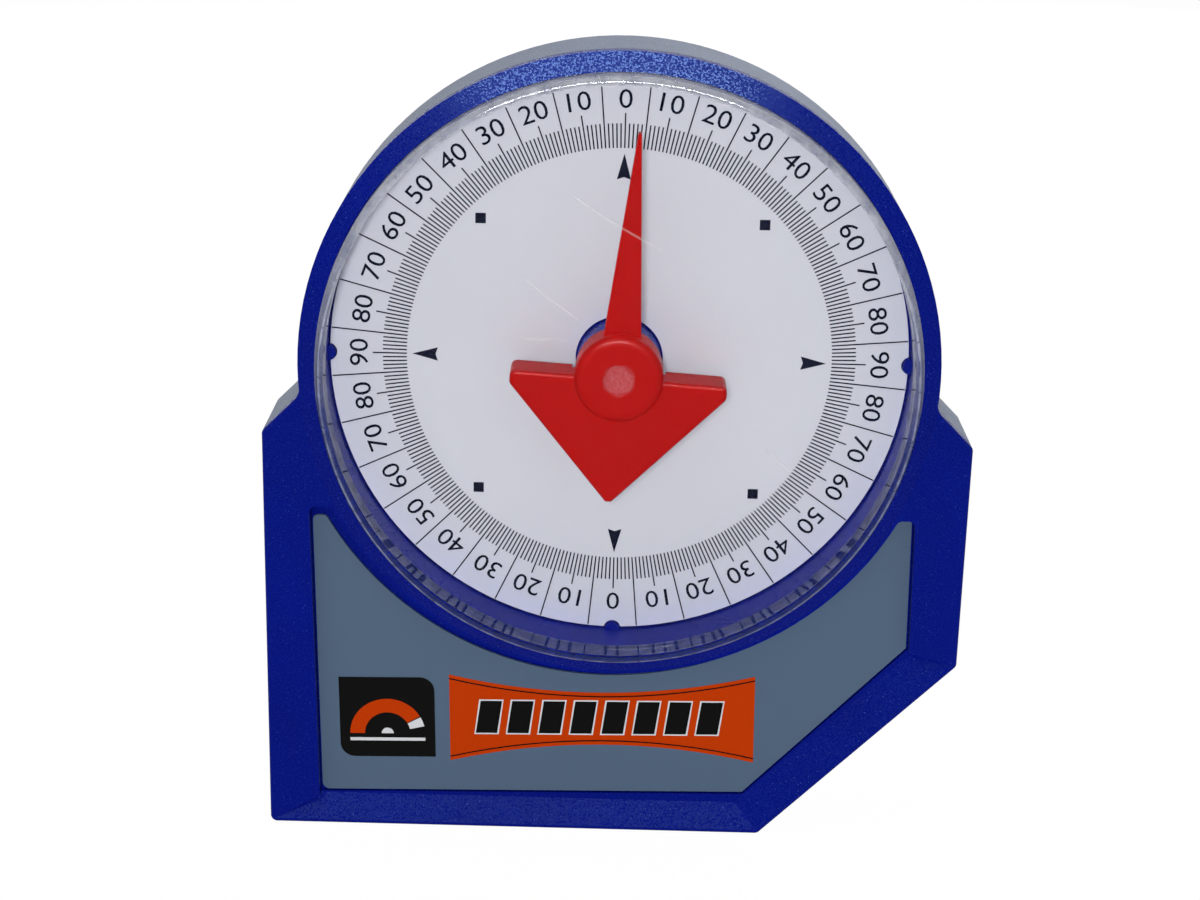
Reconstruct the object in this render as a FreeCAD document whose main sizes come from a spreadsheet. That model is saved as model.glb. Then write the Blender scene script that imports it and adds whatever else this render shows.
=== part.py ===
import FreeCAD, Part
import math
import os
import Sketcher

# Magnetic angle finder. A weighted pointer swings on a pin in front of a printed dial.
#
# Every piece is drawn in the dial's own frame: X to the right, Z up, the origin on the pointer's
# axis in the dial's front face. A height is measured from that face towards the reader, which is
# -Y. The pieces are then placed together so that the base stands on Z = 0, in the middle of the
# depth from the lens to the back.

doc = FreeCAD.newDocument("angle_finder")

# Driving sizes, in millimetres and degrees.
SIZES = (
    ("DialRadius", 41.6, "printed dial plate"),
    ("DialThick", 0.8, "dial plate"),
    ("DialGap", 0.3, "clearance round the dial plate and in its hole"),
    ("LensLedge", 0.6, "width of the ledge between the dial well and the lens seat"),
    ("LensGap", 0.15, "clearance round the lens in its seat"),
    ("RingWall", 2.65, "wall of the dial ring outside the lens seat"),
    ("SideMargin", 5.3, "flat sides outside the dial ring"),
    ("BaseMargin", 26.1, "base below the dial ring"),
    ("WaistDrop", 4.3, "where a shoulder meets the ring, below the axis"),
    ("BevelLeg", 28.0, "leg of the 45 degree face at the lower right"),
    ("WaistRadius", 2.5, "fillet where the ring runs into a shoulder"),
    ("CornerRadius", 1.0, "upright corners of both shells"),
    ("SeamHeight", 6.6, "joint between the shells above the dial"),
    ("FrontThick", 1.8, "front plate of the front moulding"),
    ("CrownRise", 1.2, "how far the ring's cone stands above the flat front"),
    ("RimEdge", 0.4, "rounding of the front's outer edges"),
    ("CaseBack", 7.6, "back of the case behind the dial"),
    ("Wall", 1.5, "side wall of the rear shell"),
    ("BackWall", 2.4, "back wall of the rear shell"),
    ("BackEdge", 1.0, "chamfer of the rear shell's outer edge"),
    ("SeamGroove", 0.6, "height of the shadow groove under the seam"),
    ("SeamGrooveDepth", 0.5, "depth of the shadow groove"),
    ("PlugDepth", 2.0, "how far the front moulding reaches into the rear shell"),
    ("ShellGap", 0.15, "clearance between the plug and the rear shell"),
    ("FloorThick", 1.8, "floor of the dial well"),
    ("BossRadius", 6.0, "pivot boss"),
    ("BossHeight", 5.4, "pivot boss above the dial"),
    ("KeyRadius", 1.15, "locating keys at the dial's edge"),
    ("KeyHeight", 0.7, "locating keys above the dial"),
    ("KeyGap", 0.15, "clearance round a locating key"),
    ("SeatDepth", 1.6, "depth of the lens seat in the ring"),
    ("LensWall", 1.2, "wall of the lens"),
    ("LensRound", 1.7, "rounding of the lens's front edge, in three flats"),
    ("LensClear", 0.4, "room between the hub and the lens"),
    ("LabelSideMargin", 7.3, "label inside the flat sides"),
    ("LabelBaseMargin", 5.6, "label above the base"),
    ("LabelBevelMargin", 6.0, "label inside the 45 degree face"),
    ("LabelArcMargin", 1.6, "label's hollow edge outside the ring"),
    ("LobeWidth", 1.9, "width of the label's two lobes at their tops"),
    ("LabelThick", 0.5, "label plate"),
    ("LabelCorner", 1.1, "corners of the label"),
    ("LobeRadius", 0.8, "corners of the label's lobes"),
    ("LabelTilt", 1.1, "degrees that the label sits crooked"),
    ("LabelPivot", 45.0, "point below the axis about which it is turned"),
    ("LabelGap", 0.25, "least clearance round the label"),
    ("RecessDepth", 2.4, "depth of the label recess in the flat front"),
    ("RecessLobe", 1.0, "corners of the recess's lobes"),
    ("SlopeLand", 0.6, "flat land outside the sloping borders"),
    ("SlopeDrop", 1.7, "fall of the sloping borders towards the label"),
    ("SlopeMargin", 0.2, "least flat margin between a slope and the recess"),
    ("GrooveMouth", 10.0, "width of the V groove in the base"),
    ("GrooveDepth", 4.6, "depth of the V groove"),
    ("MagnetLength", 13.0, "base magnet"),
    ("MagnetWidth", 4.8, "base magnet"),
    ("MagnetThick", 4.0, "base magnet"),
    ("MagnetMargin", 4.6, "end magnets inside the ends of the base"),
    ("MagnetGap", 0.1, "clearance round a magnet or a keeper"),
    ("KeeperThick", 1.2, "steel bar on the magnets"),
    ("BaseCover", 1.2, "solid base beside and above its keeper"),
    ("BevelCover", 2.3, "solid bevel beside and above its keeper"),
    ("BevelMagnetLength", 10.0, "magnet in the 45 degree face"),
    ("BevelMagnetWidth", 7.0, "magnet in the 45 degree face"),
    ("BevelMagnetSpace", 4.0, "space between the two magnets of the 45 degree face"),
    ("ScrewRadius", 1.1, "shank of a case screw"),
    ("ScrewLength", 9.0, "shank of a case screw"),
    ("ScrewFit", 0.05, "clearance of a screw in its pilot hole"),
    ("ScrewHoleGap", 0.4, "clearance of a screw in the back wall"),
    ("ScrewHeadRadius", 2.6, "head of a case screw"),
    ("ScrewHeadHeight", 1.2, "head of a case screw"),
    ("HeadGap", 0.3, "clearance round a screw head"),
    ("HeadInset", 0.1, "screw heads below the back"),
    ("DriveLength", 3.0, "cross recess in a screw head"),
    ("DriveWidth", 0.6, "cross recess in a screw head"),
    ("DriveDepth", 0.7, "cross recess in a screw head"),
    ("PostWall", 1.85, "wall of a screw post round its pilot hole"),
    ("PostGap", 0.4, "screw posts clear of the cavity's walls"),
    ("PostEndGap", 0.1, "screw posts clear of the back wall"),
    ("PilotSpare", 0.7, "pilot hole beyond the screw's end"),
    ("UpperPostDrop", 15.5, "upper screw posts below the axis"),
    ("PinRadius", 1.0, "pivot pin"),
    ("PinFit", 0.02, "clearance of the pin in the boss"),
    ("PinRunning", 0.05, "running clearance of the pin in the bush"),
    ("PinHeadRadius", 2.4, "head of the pivot pin behind the well floor"),
    ("PinHeadThick", 0.8, "head of the pivot pin behind the well floor"),
    ("PinEndGap", 0.2, "tip of the pivot pin short of the closed bore"),
    ("PinTipLength", 0.6, "conical tip of the pivot pin"),
    ("WasherRadius", 3.6, "thrust washer"),
    ("WasherThick", 0.25, "thrust washer"),
    ("WasherGap", 0.1, "clearance of the washer's bore round the pin"),
    ("HubPlay", 0.15, "play between the washer and the hub"),
    ("HubRadius", 6.25, "hub of the pointer"),
    ("HubLength", 5.7, "hub of the pointer"),
    ("HubRound", 1.3, "rounding of the hub's front edge"),
    ("HubCap", 1.2, "closed front of the hub's bore"),
    ("DimpleRadius", 2.1, "dimple in the hub's front"),
    ("DimpleDepth", 0.3, "dimple in the hub's front"),
    ("BushRadius", 2.4, "hub bush"),
    ("BushInset", 0.4, "back of the bush inside the hub"),
    ("BushEndGap", 0.5, "front of the bush short of the closed bore"),
    ("BushFit", 0.02, "clearance of the bush in the hub"),
    ("NeedleRoot", 2.7, "half width of the needle at its root"),
    ("NeedleRootHeight", 4.6, "where that width is, above the axis"),
    ("NeedleTip", 34.3, "reach of the needle"),
    ("NeedlePoint", 0.22, "half width of the needle's point"),
    ("NeedleStep", 2.3, "front of the needle behind the hub's"),
    ("NeedleThick", 2.0, "needle"),
    ("TailTop", 0.15, "top edge of the tail below the axis"),
    ("TailHalfSpan", 15.3, "half span of the tail"),
    ("TailEnd", 1.9, "height of the tail's blunt ends"),
    ("TailPoint", 18.5, "point of the tail below the axis"),
    ("TailPointHalf", 0.45, "half width of the tail's blunt point"),
    ("TailStep", 1.4, "front of the tail behind the hub's"),
    ("TailThick", 5.7, "tail"),
    ("TailCorner", 0.9, "corners of the tail"),
    ("TailEdge", 0.6, "rounding of the tail's front edge"),
    ("TailRelief", 0.65, "clearance of the tail round the boss"),
    ("SlugRadius", 3.3, "weight in the tail"),
    ("SlugLength", 4.6, "weight in the tail"),
    ("SlugDrop", 11.4, "weight below the axis"),
    ("SlugFit", 0.03, "clearance of the weight in the tail"),
    ("ReadingAngle", 3.4, "degrees that the pointer reads to the right of zero"),
    ("InnerShare", 0.3, "how far the cut of the sloping borders runs into the open recess"),
    ("CutOverrun", 1.0, "how far a cut runs past the face that it opens"),
)

MAGNET_COUNT = 4
KEY_ANGLES = (0.0, 180.0, 270.0)
BEVEL_TURN = -45.0
BEVEL_SIDES = (-0.5, 0.5)

# How near a point must lie to a line or a height to be taken as on it.
CLOSE = 0.01
NEAR = 0.05

# Places worked out from the driving sizes. S stands for the sheet of sizes.
PLACES = [
    ("RootTwo", "sqrt(2)"),
    ("WellRadius", "S.DialRadius + S.DialGap"),
    ("LensRadius", "WellRadius + S.LensLedge"),
    ("SeatRadius", "LensRadius + S.LensGap"),
    ("RingRadius", "SeatRadius + S.RingWall"),
    ("BodyHalf", "RingRadius + S.SideMargin"),
    ("DialHeight", "RingRadius + S.BaseMargin"),
    ("ShoulderTop", "sqrt(RingRadius ^ 2 - S.WaistDrop ^ 2) - S.WaistDrop"),
    ("CavityRadius", "RingRadius - S.Wall"),
    ("CupRadius", "CavityRadius - S.ShellGap"),
    ("CollarRadius", "RingRadius - S.SeamGrooveDepth"),
    ("DialHole", "S.BossRadius + S.DialGap"),
    ("RimHeight", "S.SeamHeight + S.FrontThick"),
    ("CrownHeight", "RimHeight + S.CrownRise"),
    ("LensSeat", "CrownHeight - S.SeatDepth"),
    ("CollarFoot", "S.SeamHeight - S.SeamGroove"),
    ("PlugBack", "S.SeamHeight - S.PlugDepth"),
    ("CupBack", "S.DialThick + S.FloorThick"),
    ("CavityBack", "S.CaseBack - S.BackWall"),
    ("BackChamfer", "min(S.BackEdge; S.CornerRadius)"),
    ("HubBack", "S.BossHeight + S.WasherThick + S.HubPlay"),
    ("HubFront", "HubBack + S.HubLength"),
    ("HubBoreEnd", "HubFront - S.HubCap"),
    ("HubTurn", "S.HubRadius - S.HubRound"),
    ("HubTurnHeight", "HubFront - S.HubRound"),
    ("DimpleFloor", "HubFront - S.DimpleDepth"),
    ("DimpleRim", "S.DimpleRadius + S.DimpleDepth / 2"),
    ("BushBack", "HubBack + S.BushInset"),
    ("BushLength", "HubBoreEnd - S.BushEndGap - BushBack"),
    ("PinReach", "HubBoreEnd - S.PinEndGap"),
    ("PinTaper", "PinReach - S.PinTipLength"),
    ("PinHeadBack", "CupBack + S.PinHeadThick"),
    ("NeedleFront", "HubFront - S.NeedleStep"),
    ("TailFront", "HubFront - S.TailStep"),
    ("TailBack", "TailFront - S.TailThick"),
    ("TailEndFoot", "S.TailTop + S.TailEnd"),
    ("TailRound", "min(S.TailCorner; 0.47 * S.TailEnd)"),
    ("LensInside", "HubFront + S.LensClear"),
    ("LensHeight", "LensInside + S.LensWall"),
    ("SkirtInside", "LensRadius - S.LensWall"),
    ("LensTurn", "LensRadius - S.LensRound"),
    ("LensTurnHeight", "LensHeight - S.LensRound"),
    ("FirstFlatRadius", "LensTurn + S.LensRound * sin(30)"),
    ("FirstFlatHeight", "LensTurnHeight + S.LensRound * cos(30)"),
    ("SecondFlatRadius", "LensTurn + S.LensRound * sin(60)"),
    ("SecondFlatHeight", "LensTurnHeight + S.LensRound * cos(60)"),
    ("DialDepth", "(LensHeight - S.CaseBack) / 2"),
    ("LabelHalfWidth", "BodyHalf - S.LabelSideMargin"),
    ("LabelBottom", "DialHeight - S.LabelBaseMargin"),
    ("LabelArc", "RingRadius + S.LabelArcMargin"),
    ("LabelLobeX", "LabelHalfWidth - S.LobeWidth"),
    ("LabelTop", "sqrt(LabelArc ^ 2 - LabelLobeX ^ 2)"),
    ("LabelSum", "BodyHalf + DialHeight - S.BevelLeg - S.LabelBevelMargin * RootTwo"),
    ("LabelBevelX", "LabelSum - LabelBottom"),
    ("LabelBevelZ", "LabelSum - LabelHalfWidth"),
    ("TiltSin", "sin(S.LabelTilt)"),
    ("TiltCos", "cos(S.LabelTilt)"),
    ("TiltShift", "LabelHalfWidth * TiltSin"),
    ("RecessHeight", "RimHeight - S.RecessDepth"),
    ("RecessTop", "LabelTop - TiltShift - S.LabelGap"),
    ("RecessArc", "LabelArc - S.LabelPivot * TiltSin - S.LabelGap"),
    ("RecessLobeX", "sqrt(RecessArc ^ 2 - RecessTop ^ 2)"),
    ("RoomHalf", "LabelHalfWidth + S.LabelGap"),
    ("RoomDrop", "LabelBottom + S.LabelGap - S.LabelPivot"),
    ("RoomSum", "LabelSum + S.LabelGap * RootTwo - S.LabelPivot"),
    ("RoomBevelX", "RoomSum - RoomDrop"),
    ("RoomBevelDrop", "RoomSum - RoomHalf"),
    ("RecessLeftX", "RoomHalf * TiltCos - RoomDrop * TiltSin"),
    ("RecessLeftZ", "S.LabelPivot + RoomHalf * TiltSin + RoomDrop * TiltCos"),
    ("RecessBevelX", "RoomBevelX * TiltCos + RoomDrop * TiltSin"),
    ("RecessBevelZ", "S.LabelPivot - RoomBevelX * TiltSin + RoomDrop * TiltCos"),
    ("RecessRightX", "RoomHalf * TiltCos + RoomBevelDrop * TiltSin"),
    ("RecessRightZ", "S.LabelPivot - RoomHalf * TiltSin + RoomBevelDrop * TiltCos"),
    ("RecessLeftTopX", "RecessLeftX + (RecessLeftZ - RecessTop) * tan(S.LabelTilt)"),
    ("RecessRightTopX", "RecessRightX - (RecessRightZ - RecessTop) * tan(S.LabelTilt)"),
    ("RecessRightSum", "RecessRightX + RecessRightZ"),
    ("RecessSum", "max(RecessBevelX + RecessBevelZ; RecessRightSum)"),
    ("SlopeHeight", "RimHeight - S.SlopeDrop"),
    ("BaseBlock", "S.GrooveDepth + S.MagnetThick + S.KeeperThick + S.BaseCover"),
    ("BevelBlock", "S.MagnetThick + S.KeeperThick + S.BevelCover"),
    ("PilotRadius", "S.ScrewRadius + S.ScrewFit"),
    ("ScrewHoleRadius", "S.ScrewRadius + S.ScrewHoleGap"),
    ("HeadPocketRadius", "S.ScrewHeadRadius + S.HeadGap"),
    ("HeadPocketDepth", "S.ScrewHeadHeight + S.HeadInset"),
    ("PilotDepth", "S.ScrewLength - S.BackWall + HeadPocketDepth - S.PostEndGap + S.PilotSpare"),
    ("PostRadius", "PilotRadius + S.PostWall"),
    ("PostCentre", "CavitySide - PostRadius - S.PostGap"),
    ("LowerPostDrop", "CavityBottom - PostRadius - S.PostGap"),
    ("BevelPost", "(CavitySum - (PostRadius + S.PostGap) * RootTwo) / 2"),
    ("GrooveMiddle", "(S.SeamHeight - S.CaseBack) / 2"),
    ("GrooveFloor", "S.MagnetWidth + 2 * S.MagnetGap"),
    ("GrooveFront", "GrooveMiddle + S.GrooveMouth / 2"),
    ("GrooveBack", "S.GrooveMouth / 2 - GrooveMiddle"),
    ("FloorFront", "GrooveMiddle + GrooveFloor / 2"),
    ("FloorBack", "GrooveFloor / 2 - GrooveMiddle"),
    ("GrooveRoof", "DialHeight - S.GrooveDepth"),
    ("KeeperFoot", "S.GrooveDepth + S.MagnetThick"),
    ("KeeperLeft", "S.MagnetMargin - BodyHalf"),
    ("KeeperLength", "2 * BodyHalf - S.BevelLeg - 2 * S.MagnetMargin"),
    ("MagnetPitch", f"(KeeperLength - S.MagnetLength) / {MAGNET_COUNT - 1}"),
    ("BevelMagnetPitch", "S.BevelMagnetLength + S.BevelMagnetSpace"),
    ("BevelKeeperLength", "BevelMagnetPitch + S.BevelMagnetLength"),
    ("BevelMiddleX", "BodyHalf - S.BevelLeg / 2"),
    ("BevelMiddleZ", "S.BevelLeg / 2 - DialHeight"),
]


def outline_places(name, side_inset, bottom_inset, bevel_inset):
    """Places of the lower body's outline, moved in by the three insets."""
    shoulder = f"ShoulderTop - ({side_inset}) * RootTwo"
    bevel = f"BodyHalf + DialHeight - S.BevelLeg - ({bevel_inset}) * RootTwo"
    return [
        (name + "Side", f"BodyHalf - ({side_inset})"),
        (name + "Bottom", f"DialHeight - ({bottom_inset})"),
        (name + "Sum", bevel),
        (name + "BevelX", f"{name}Sum - {name}Bottom"),
        (name + "BevelZ", f"{name}Sum - {name}Side"),
        (name + "Top", shoulder),
        (name + "Shoulder", f"{name}Side - {name}Top"),
    ]


PLACES += outline_places("Outer", "0", "0", "0")
PLACES += outline_places("Collar", "S.SeamGrooveDepth", "S.SeamGrooveDepth", "S.SeamGrooveDepth")
PLACES += outline_places("Tray", "S.Wall", "S.Wall", "S.Wall")
PLACES += outline_places("Plug", *["S.Wall + S.ShellGap"] * 3)
PLACES += outline_places("Cavity", "S.Wall", "BaseBlock", "BevelBlock")
PLACES += outline_places("Land", "S.SlopeLand", "S.SlopeLand", "S.SlopeLand")

# The sloping borders end in mitres that run from the recess's corners to the body's corners.
# A share of 0 is the recess's corner, 1 the body's corner, and below 0 is inside the recess.
PLACES += [
    ("FootSum", "RecessSum + S.SlopeMargin * RootTwo"),
    ("MitreLeft", "S.SlopeMargin / (DialHeight - RecessLeftZ)"),
    ("MitreRight", "(FootSum - RecessRightSum) / (OuterSum - RecessRightSum)"),
    ("FootLeftX", "RecessLeftX + MitreLeft * (OuterSide - RecessLeftX)"),
    ("FootZ", "RecessLeftZ + S.SlopeMargin"),
    ("FootBevelX", "FootSum - FootZ"),
    ("FootRightX", "RecessRightX + MitreRight * (OuterSide - RecessRightX)"),
    ("FootRightZ", "RecessRightZ + MitreRight * (OuterBevelZ - RecessRightZ)"),
    ("InnerLeftX", "RecessLeftX - S.InnerShare * (OuterSide - RecessLeftX)"),
    ("InnerLeftZ", "RecessLeftZ - S.InnerShare * (DialHeight - RecessLeftZ)"),
    ("InnerBevelX", "RecessBevelX - S.InnerShare * (OuterBevelX - RecessBevelX)"),
    ("InnerBevelZ", "RecessBevelZ - S.InnerShare * (DialHeight - RecessBevelZ)"),
    ("InnerRightX", "RecessRightX - S.InnerShare * (OuterSide - RecessRightX)"),
    ("InnerRightZ", "RecessRightZ - S.InnerShare * (OuterBevelZ - RecessRightZ)"),
]


def write_sheets():
    """Write the driving sizes and the places worked out from them."""
    sizes = doc.addObject("Spreadsheet::Sheet", "Sizes")
    for row, (alias, value, meaning) in enumerate(SIZES, start=1):
        sizes.set(f"A{row}", alias)
        sizes.set(f"B{row}", str(value))
        sizes.set(f"C{row}", meaning)
        sizes.setAlias(f"B{row}", alias)
    places = doc.addObject("Spreadsheet::Sheet", "Places")
    for row, (alias, formula) in enumerate(PLACES, start=1):
        places.set(f"A{row}", alias)
        places.setAlias(f"B{row}", alias)
    for row, (alias, formula) in enumerate(PLACES, start=1):
        places.set(f"B{row}", "=" + formula.replace("S.", "Sizes."))
    doc.recompute()
    return sizes, places


sizes, places = write_sheets()
SIZE_NAMES = {alias for alias, value, meaning in SIZES}


def source(name):
    """Expression that reads one named value, with its sign."""
    sign = "-" if name.startswith("-") else ""
    bare = name.lstrip("-")
    sheet = "Sizes" if bare in SIZE_NAMES else "Places"
    return f"{sign}{sheet}.{bare}"


def number(name):
    """Present value of one named value, with its sign."""
    if name == "0":
        return 0.0
    sign = -1.0 if name.startswith("-") else 1.0
    bare = name.lstrip("-")
    sheet = sizes if bare in SIZE_NAMES else places
    return sign * float(getattr(sheet, bare))


def new_body(label, turned=None):
    """Body in the dial's frame, turned about the pointer's axis where a value is named."""
    body = doc.addObject("PartDesign::Body", label)
    body.Label = label
    place(body, turned)
    return body


def place(piece, turned=None):
    """Put a piece drawn in the dial's frame where the dial is."""
    if turned:
        piece.Placement.Rotation = FreeCAD.Rotation(FreeCAD.Vector(0, 1, 0), 1.0)
        piece.setExpression(".Placement.Rotation.Angle", source(turned))
    piece.setExpression(".Placement.Base.y", "Places.DialDepth")
    piece.setExpression(".Placement.Base.z", "Places.DialHeight")


def new_sketch(body, name, height=None, plane="XZ_Plane"):
    """Sketch on one of the body's own planes, raised to a named height."""
    sketch = body.newObject("Sketcher::SketchObject", name)
    planes = [item for item in body.Origin.OriginFeatures if item.Role == plane]
    sketch.AttachmentSupport = [(planes[0], "")]
    sketch.MapMode = "FlatFace"
    if height:
        sketch.setExpression(".AttachmentOffset.Base.z", source(height))
    return sketch


def hold_distance(sketch, kind, geometry, end, name):
    """Hold one coordinate of a point at a named distance from the sketch's origin."""
    axis = -2 if kind == "DistanceX" else -1
    if name == "0":
        sketch.addConstraint(Sketcher.Constraint("PointOnObject", geometry, end, axis))
        return
    if name.startswith("-"):
        ends = (geometry, end, -1, 1)
    else:
        ends = (-1, 1, geometry, end)
    index = sketch.addConstraint(Sketcher.Constraint(kind, *ends, abs(number(name))))
    sketch.setExpression(f"Constraints[{index}]", source(name.lstrip("-")))


def arc_between(first, last, radius, centre_on_left):
    """Arc shorter than a half circle from one point to another."""
    chord = last - first
    half = chord.Length / 2
    rise = math.sqrt(radius ** 2 - half ** 2)
    left = FreeCAD.Vector(-chord.y, chord.x, 0).normalize()
    centre = (first + last) * 0.5 + left * (rise if centre_on_left else -rise)
    begin, finish = (first, last) if centre_on_left else (last, first)
    angles = [math.atan2(point.y - centre.y, point.x - centre.x) for point in (begin, finish)]
    circle = Part.Circle(centre, FreeCAD.Vector(0, 0, 1), radius)
    return Part.ArcOfCircle(circle, angles[0], angles[1])


def draw_outline(sketch, corners, arcs=None):
    """Closed outline. Each corner is two named distances, and arcs maps the number of a corner
    to the named radius of the arc that follows it and the side on which its centre lies."""
    arcs = arcs or {}
    points = [FreeCAD.Vector(number(across), number(up), 0) for across, up in corners]
    joints = []
    for index, first in enumerate(points):
        last = points[(index + 1) % len(points)]
        if index in arcs:
            radius, side = arcs[index]
            on_left = side == "left"
            curve = sketch.addGeometry(arc_between(first, last, number(radius), on_left), False)
            limit = sketch.addConstraint(Sketcher.Constraint("Radius", curve, number(radius)))
            sketch.setExpression(f"Constraints[{limit}]", source(radius))
            joints.append((curve, 1, 2) if on_left else (curve, 2, 1))
        else:
            line = sketch.addGeometry(Part.LineSegment(first, last), False)
            joints.append((line, 1, 2))
    for index, (curve, begin, finish) in enumerate(joints):
        following, start, _ = joints[(index + 1) % len(joints)]
        sketch.addConstraint(Sketcher.Constraint("Coincident", curve, finish, following, start))
        hold_distance(sketch, "DistanceX", curve, begin, corners[index][0])
        hold_distance(sketch, "DistanceY", curve, begin, corners[index][1])
    return sketch


def draw_circle(sketch, radius):
    """Circle about the sketch's origin."""
    circle = Part.Circle(FreeCAD.Vector(0, 0, 0), FreeCAD.Vector(0, 0, 1), number(radius))
    index = sketch.addGeometry(circle, False)
    sketch.addConstraint(Sketcher.Constraint("Coincident", index, 3, -1, 1))
    limit = sketch.addConstraint(Sketcher.Constraint("Radius", index, number(radius)))
    sketch.setExpression(f"Constraints[{limit}]", source(radius))
    return sketch


def extrude(body, kind, name, sketch, length, away):
    """Pad or pocket of a sketch, with its length as an expression."""
    feature = body.newObject("PartDesign::" + kind, name)
    feature.Profile = sketch
    feature.setExpression("Length", length)
    feature.Reversed = away
    sketch.Visibility = False
    return feature


def pad(body, name, sketch, length, away=True):
    """Add material, behind the sketch unless told otherwise."""
    return extrude(body, "Pad", name, sketch, length, away)


def pocket(body, name, sketch, length):
    """Cut behind the sketch, away from the reader."""
    return extrude(body, "Pocket", name, sketch, length, False)


def revolve(body, name, corners, arcs=None):
    """Solid of revolution about the pointer's axis. Corners are (depth, radius) pairs."""
    sketch = new_sketch(body, name + "_profile", plane="YZ_Plane")
    draw_outline(sketch, corners, arcs)
    feature = body.newObject("PartDesign::Revolution", name)
    feature.Profile = sketch
    feature.ReferenceAxis = (sketch, ["H_Axis"])
    feature.Angle = 360
    sketch.Visibility = False
    return feature


def cylinder(body, kind, name, radius, length, across, up, height):
    """Cylinder along the pointer's direction. It starts at a height and runs to the reader."""
    feature = body.newObject(f"PartDesign::{kind}Cylinder", name)
    feature.Placement = FreeCAD.Placement(
        FreeCAD.Vector(0, 0, 0), FreeCAD.Rotation(FreeCAD.Vector(1, 0, 0), 90))
    feature.setExpression("Radius", radius)
    feature.setExpression("Height", length)
    feature.setExpression(".Placement.Base.x", across)
    feature.setExpression(".Placement.Base.y", f"-({height})")
    feature.setExpression(".Placement.Base.z", up)
    return feature


def box_cut(body, name, size, corner, turn=0.0):
    """Box cut from a body, turned about its lowest corner in the plane of the dial."""
    feature = body.newObject("PartDesign::SubtractiveBox", name)
    set_box(feature, size, corner, turn)
    return feature


def set_box(box, size, corner, turn=0.0):
    """Give a box its sizes and its lowest corner, all as expressions."""
    rotation = FreeCAD.Rotation(FreeCAD.Vector(0, 1, 0), turn)
    box.Placement = FreeCAD.Placement(FreeCAD.Vector(0, 0, 0), rotation)
    for side, expression in zip(("Length", "Width", "Height"), size):
        box.setExpression(side, expression)
    for axis, expression in zip("xyz", corner):
        box.setExpression(".Placement.Base." + axis, expression)


def dress_edges(body, kind, name, chosen):
    """Fillet or chamfer on the edges of a body's last feature that a test picks."""
    doc.recompute()
    base = body.Tip
    edges = [f"Edge{index}" for index, edge in enumerate(base.Shape.Edges, start=1) if chosen(edge)]
    feature = body.newObject("PartDesign::" + kind, name)
    feature.Base = (base, edges)
    return feature


def round_edges(body, name, radius, chosen):
    """Round the edges that a test picks."""
    dress_edges(body, "Fillet", name, chosen).setExpression("Radius", radius)


def chamfer_edges(body, name, size, chosen):
    """Chamfer the edges that a test picks."""
    dress_edges(body, "Chamfer", name, chosen).setExpression("Size", size)


def upright_at(points):
    """Test for straight edges along the pointer's direction through any of some points."""
    def chosen(edge):
        ends = [vertex.Point for vertex in edge.Vertexes]
        if len(ends) != 2 or abs(ends[0].y - ends[1].y) < NEAR:
            return False
        first = ends[0]
        along = all(math.hypot(end.x - first.x, end.z - first.z) < CLOSE for end in ends)
        return along and any(math.hypot(first.x - x, first.z - z) < NEAR for x, z in points)
    return chosen


def level_with(height, keep=lambda point: True):
    """Test for edges that lie wholly at a height, and whose middle passes a further test."""
    def chosen(edge):
        middle = edge.valueAt((edge.FirstParameter + edge.LastParameter) / 2)
        points = [vertex.Point for vertex in edge.Vertexes] + [middle]
        return all(abs(point.y + height) < CLOSE for point in points) and keep(middle)
    return chosen


def body_corners(name):
    """Corners of the lower body's outline, from the lower left, against the clock."""
    return [
        ("-" + name + "Side", "-" + name + "Bottom"),
        (name + "BevelX", "-" + name + "Bottom"),
        (name + "Side", "-" + name + "BevelZ"),
        (name + "Side", "-" + name + "Shoulder"),
        (name + "Top", "0"),
        ("-" + name + "Top", "0"),
        ("-" + name + "Side", "-" + name + "Shoulder"),
    ]


def pad_outline(body, title, outline, radius, height, length):
    """The case's outline: the lower body and the disc of the dial ring, as one solid."""
    lower = new_sketch(body, title + "_body_outline", height)
    pad(body, title + "_body", draw_outline(lower, body_corners(outline)), length)
    ring = new_sketch(body, title + "_ring_outline", height)
    pad(body, title + "_ring", draw_circle(ring, radius), length)


def outer_corners():
    """Upright corners of the case as numbers, for picking edges."""
    side = number("OuterSide")
    bottom = -number("OuterBottom")
    bevel = (number("OuterBevelX"), bottom), (side, -number("OuterBevelZ"))
    shoulder = -number("OuterShoulder")
    return [(-side, bottom), (-side, shoulder), (side, shoulder), *bevel]


def waist_points():
    """Points where the ring's circle meets the two shoulders."""
    top = number("OuterTop")
    radius = number("RingRadius")
    across = (top + math.sqrt(2 * radius ** 2 - top ** 2)) / 2
    return [(-across, top - across), (across, top - across)]


def round_case_corners(body, title):
    """Round the upright corners of a shell and the two waists under the ring."""
    round_edges(body, title + "_corners", "Sizes.CornerRadius", upright_at(outer_corners()))
    round_edges(body, title + "_waists", "Sizes.WaistRadius", upright_at(waist_points()))


def recess_corners():
    """Outline of the label recess, from its upper left, against the clock.

    Its sides, foot and bevel follow the crooked label. Its lobes and its arc stay level.
    """
    return [
        ("-RecessLeftTopX", "-RecessTop"),
        ("-RecessLeftX", "-RecessLeftZ"),
        ("RecessBevelX", "-RecessBevelZ"),
        ("RecessRightX", "-RecessRightZ"),
        ("RecessRightTopX", "-RecessTop"),
        ("RecessLobeX", "-RecessTop"),
        ("-RecessLobeX", "-RecessTop"),
    ]


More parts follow.
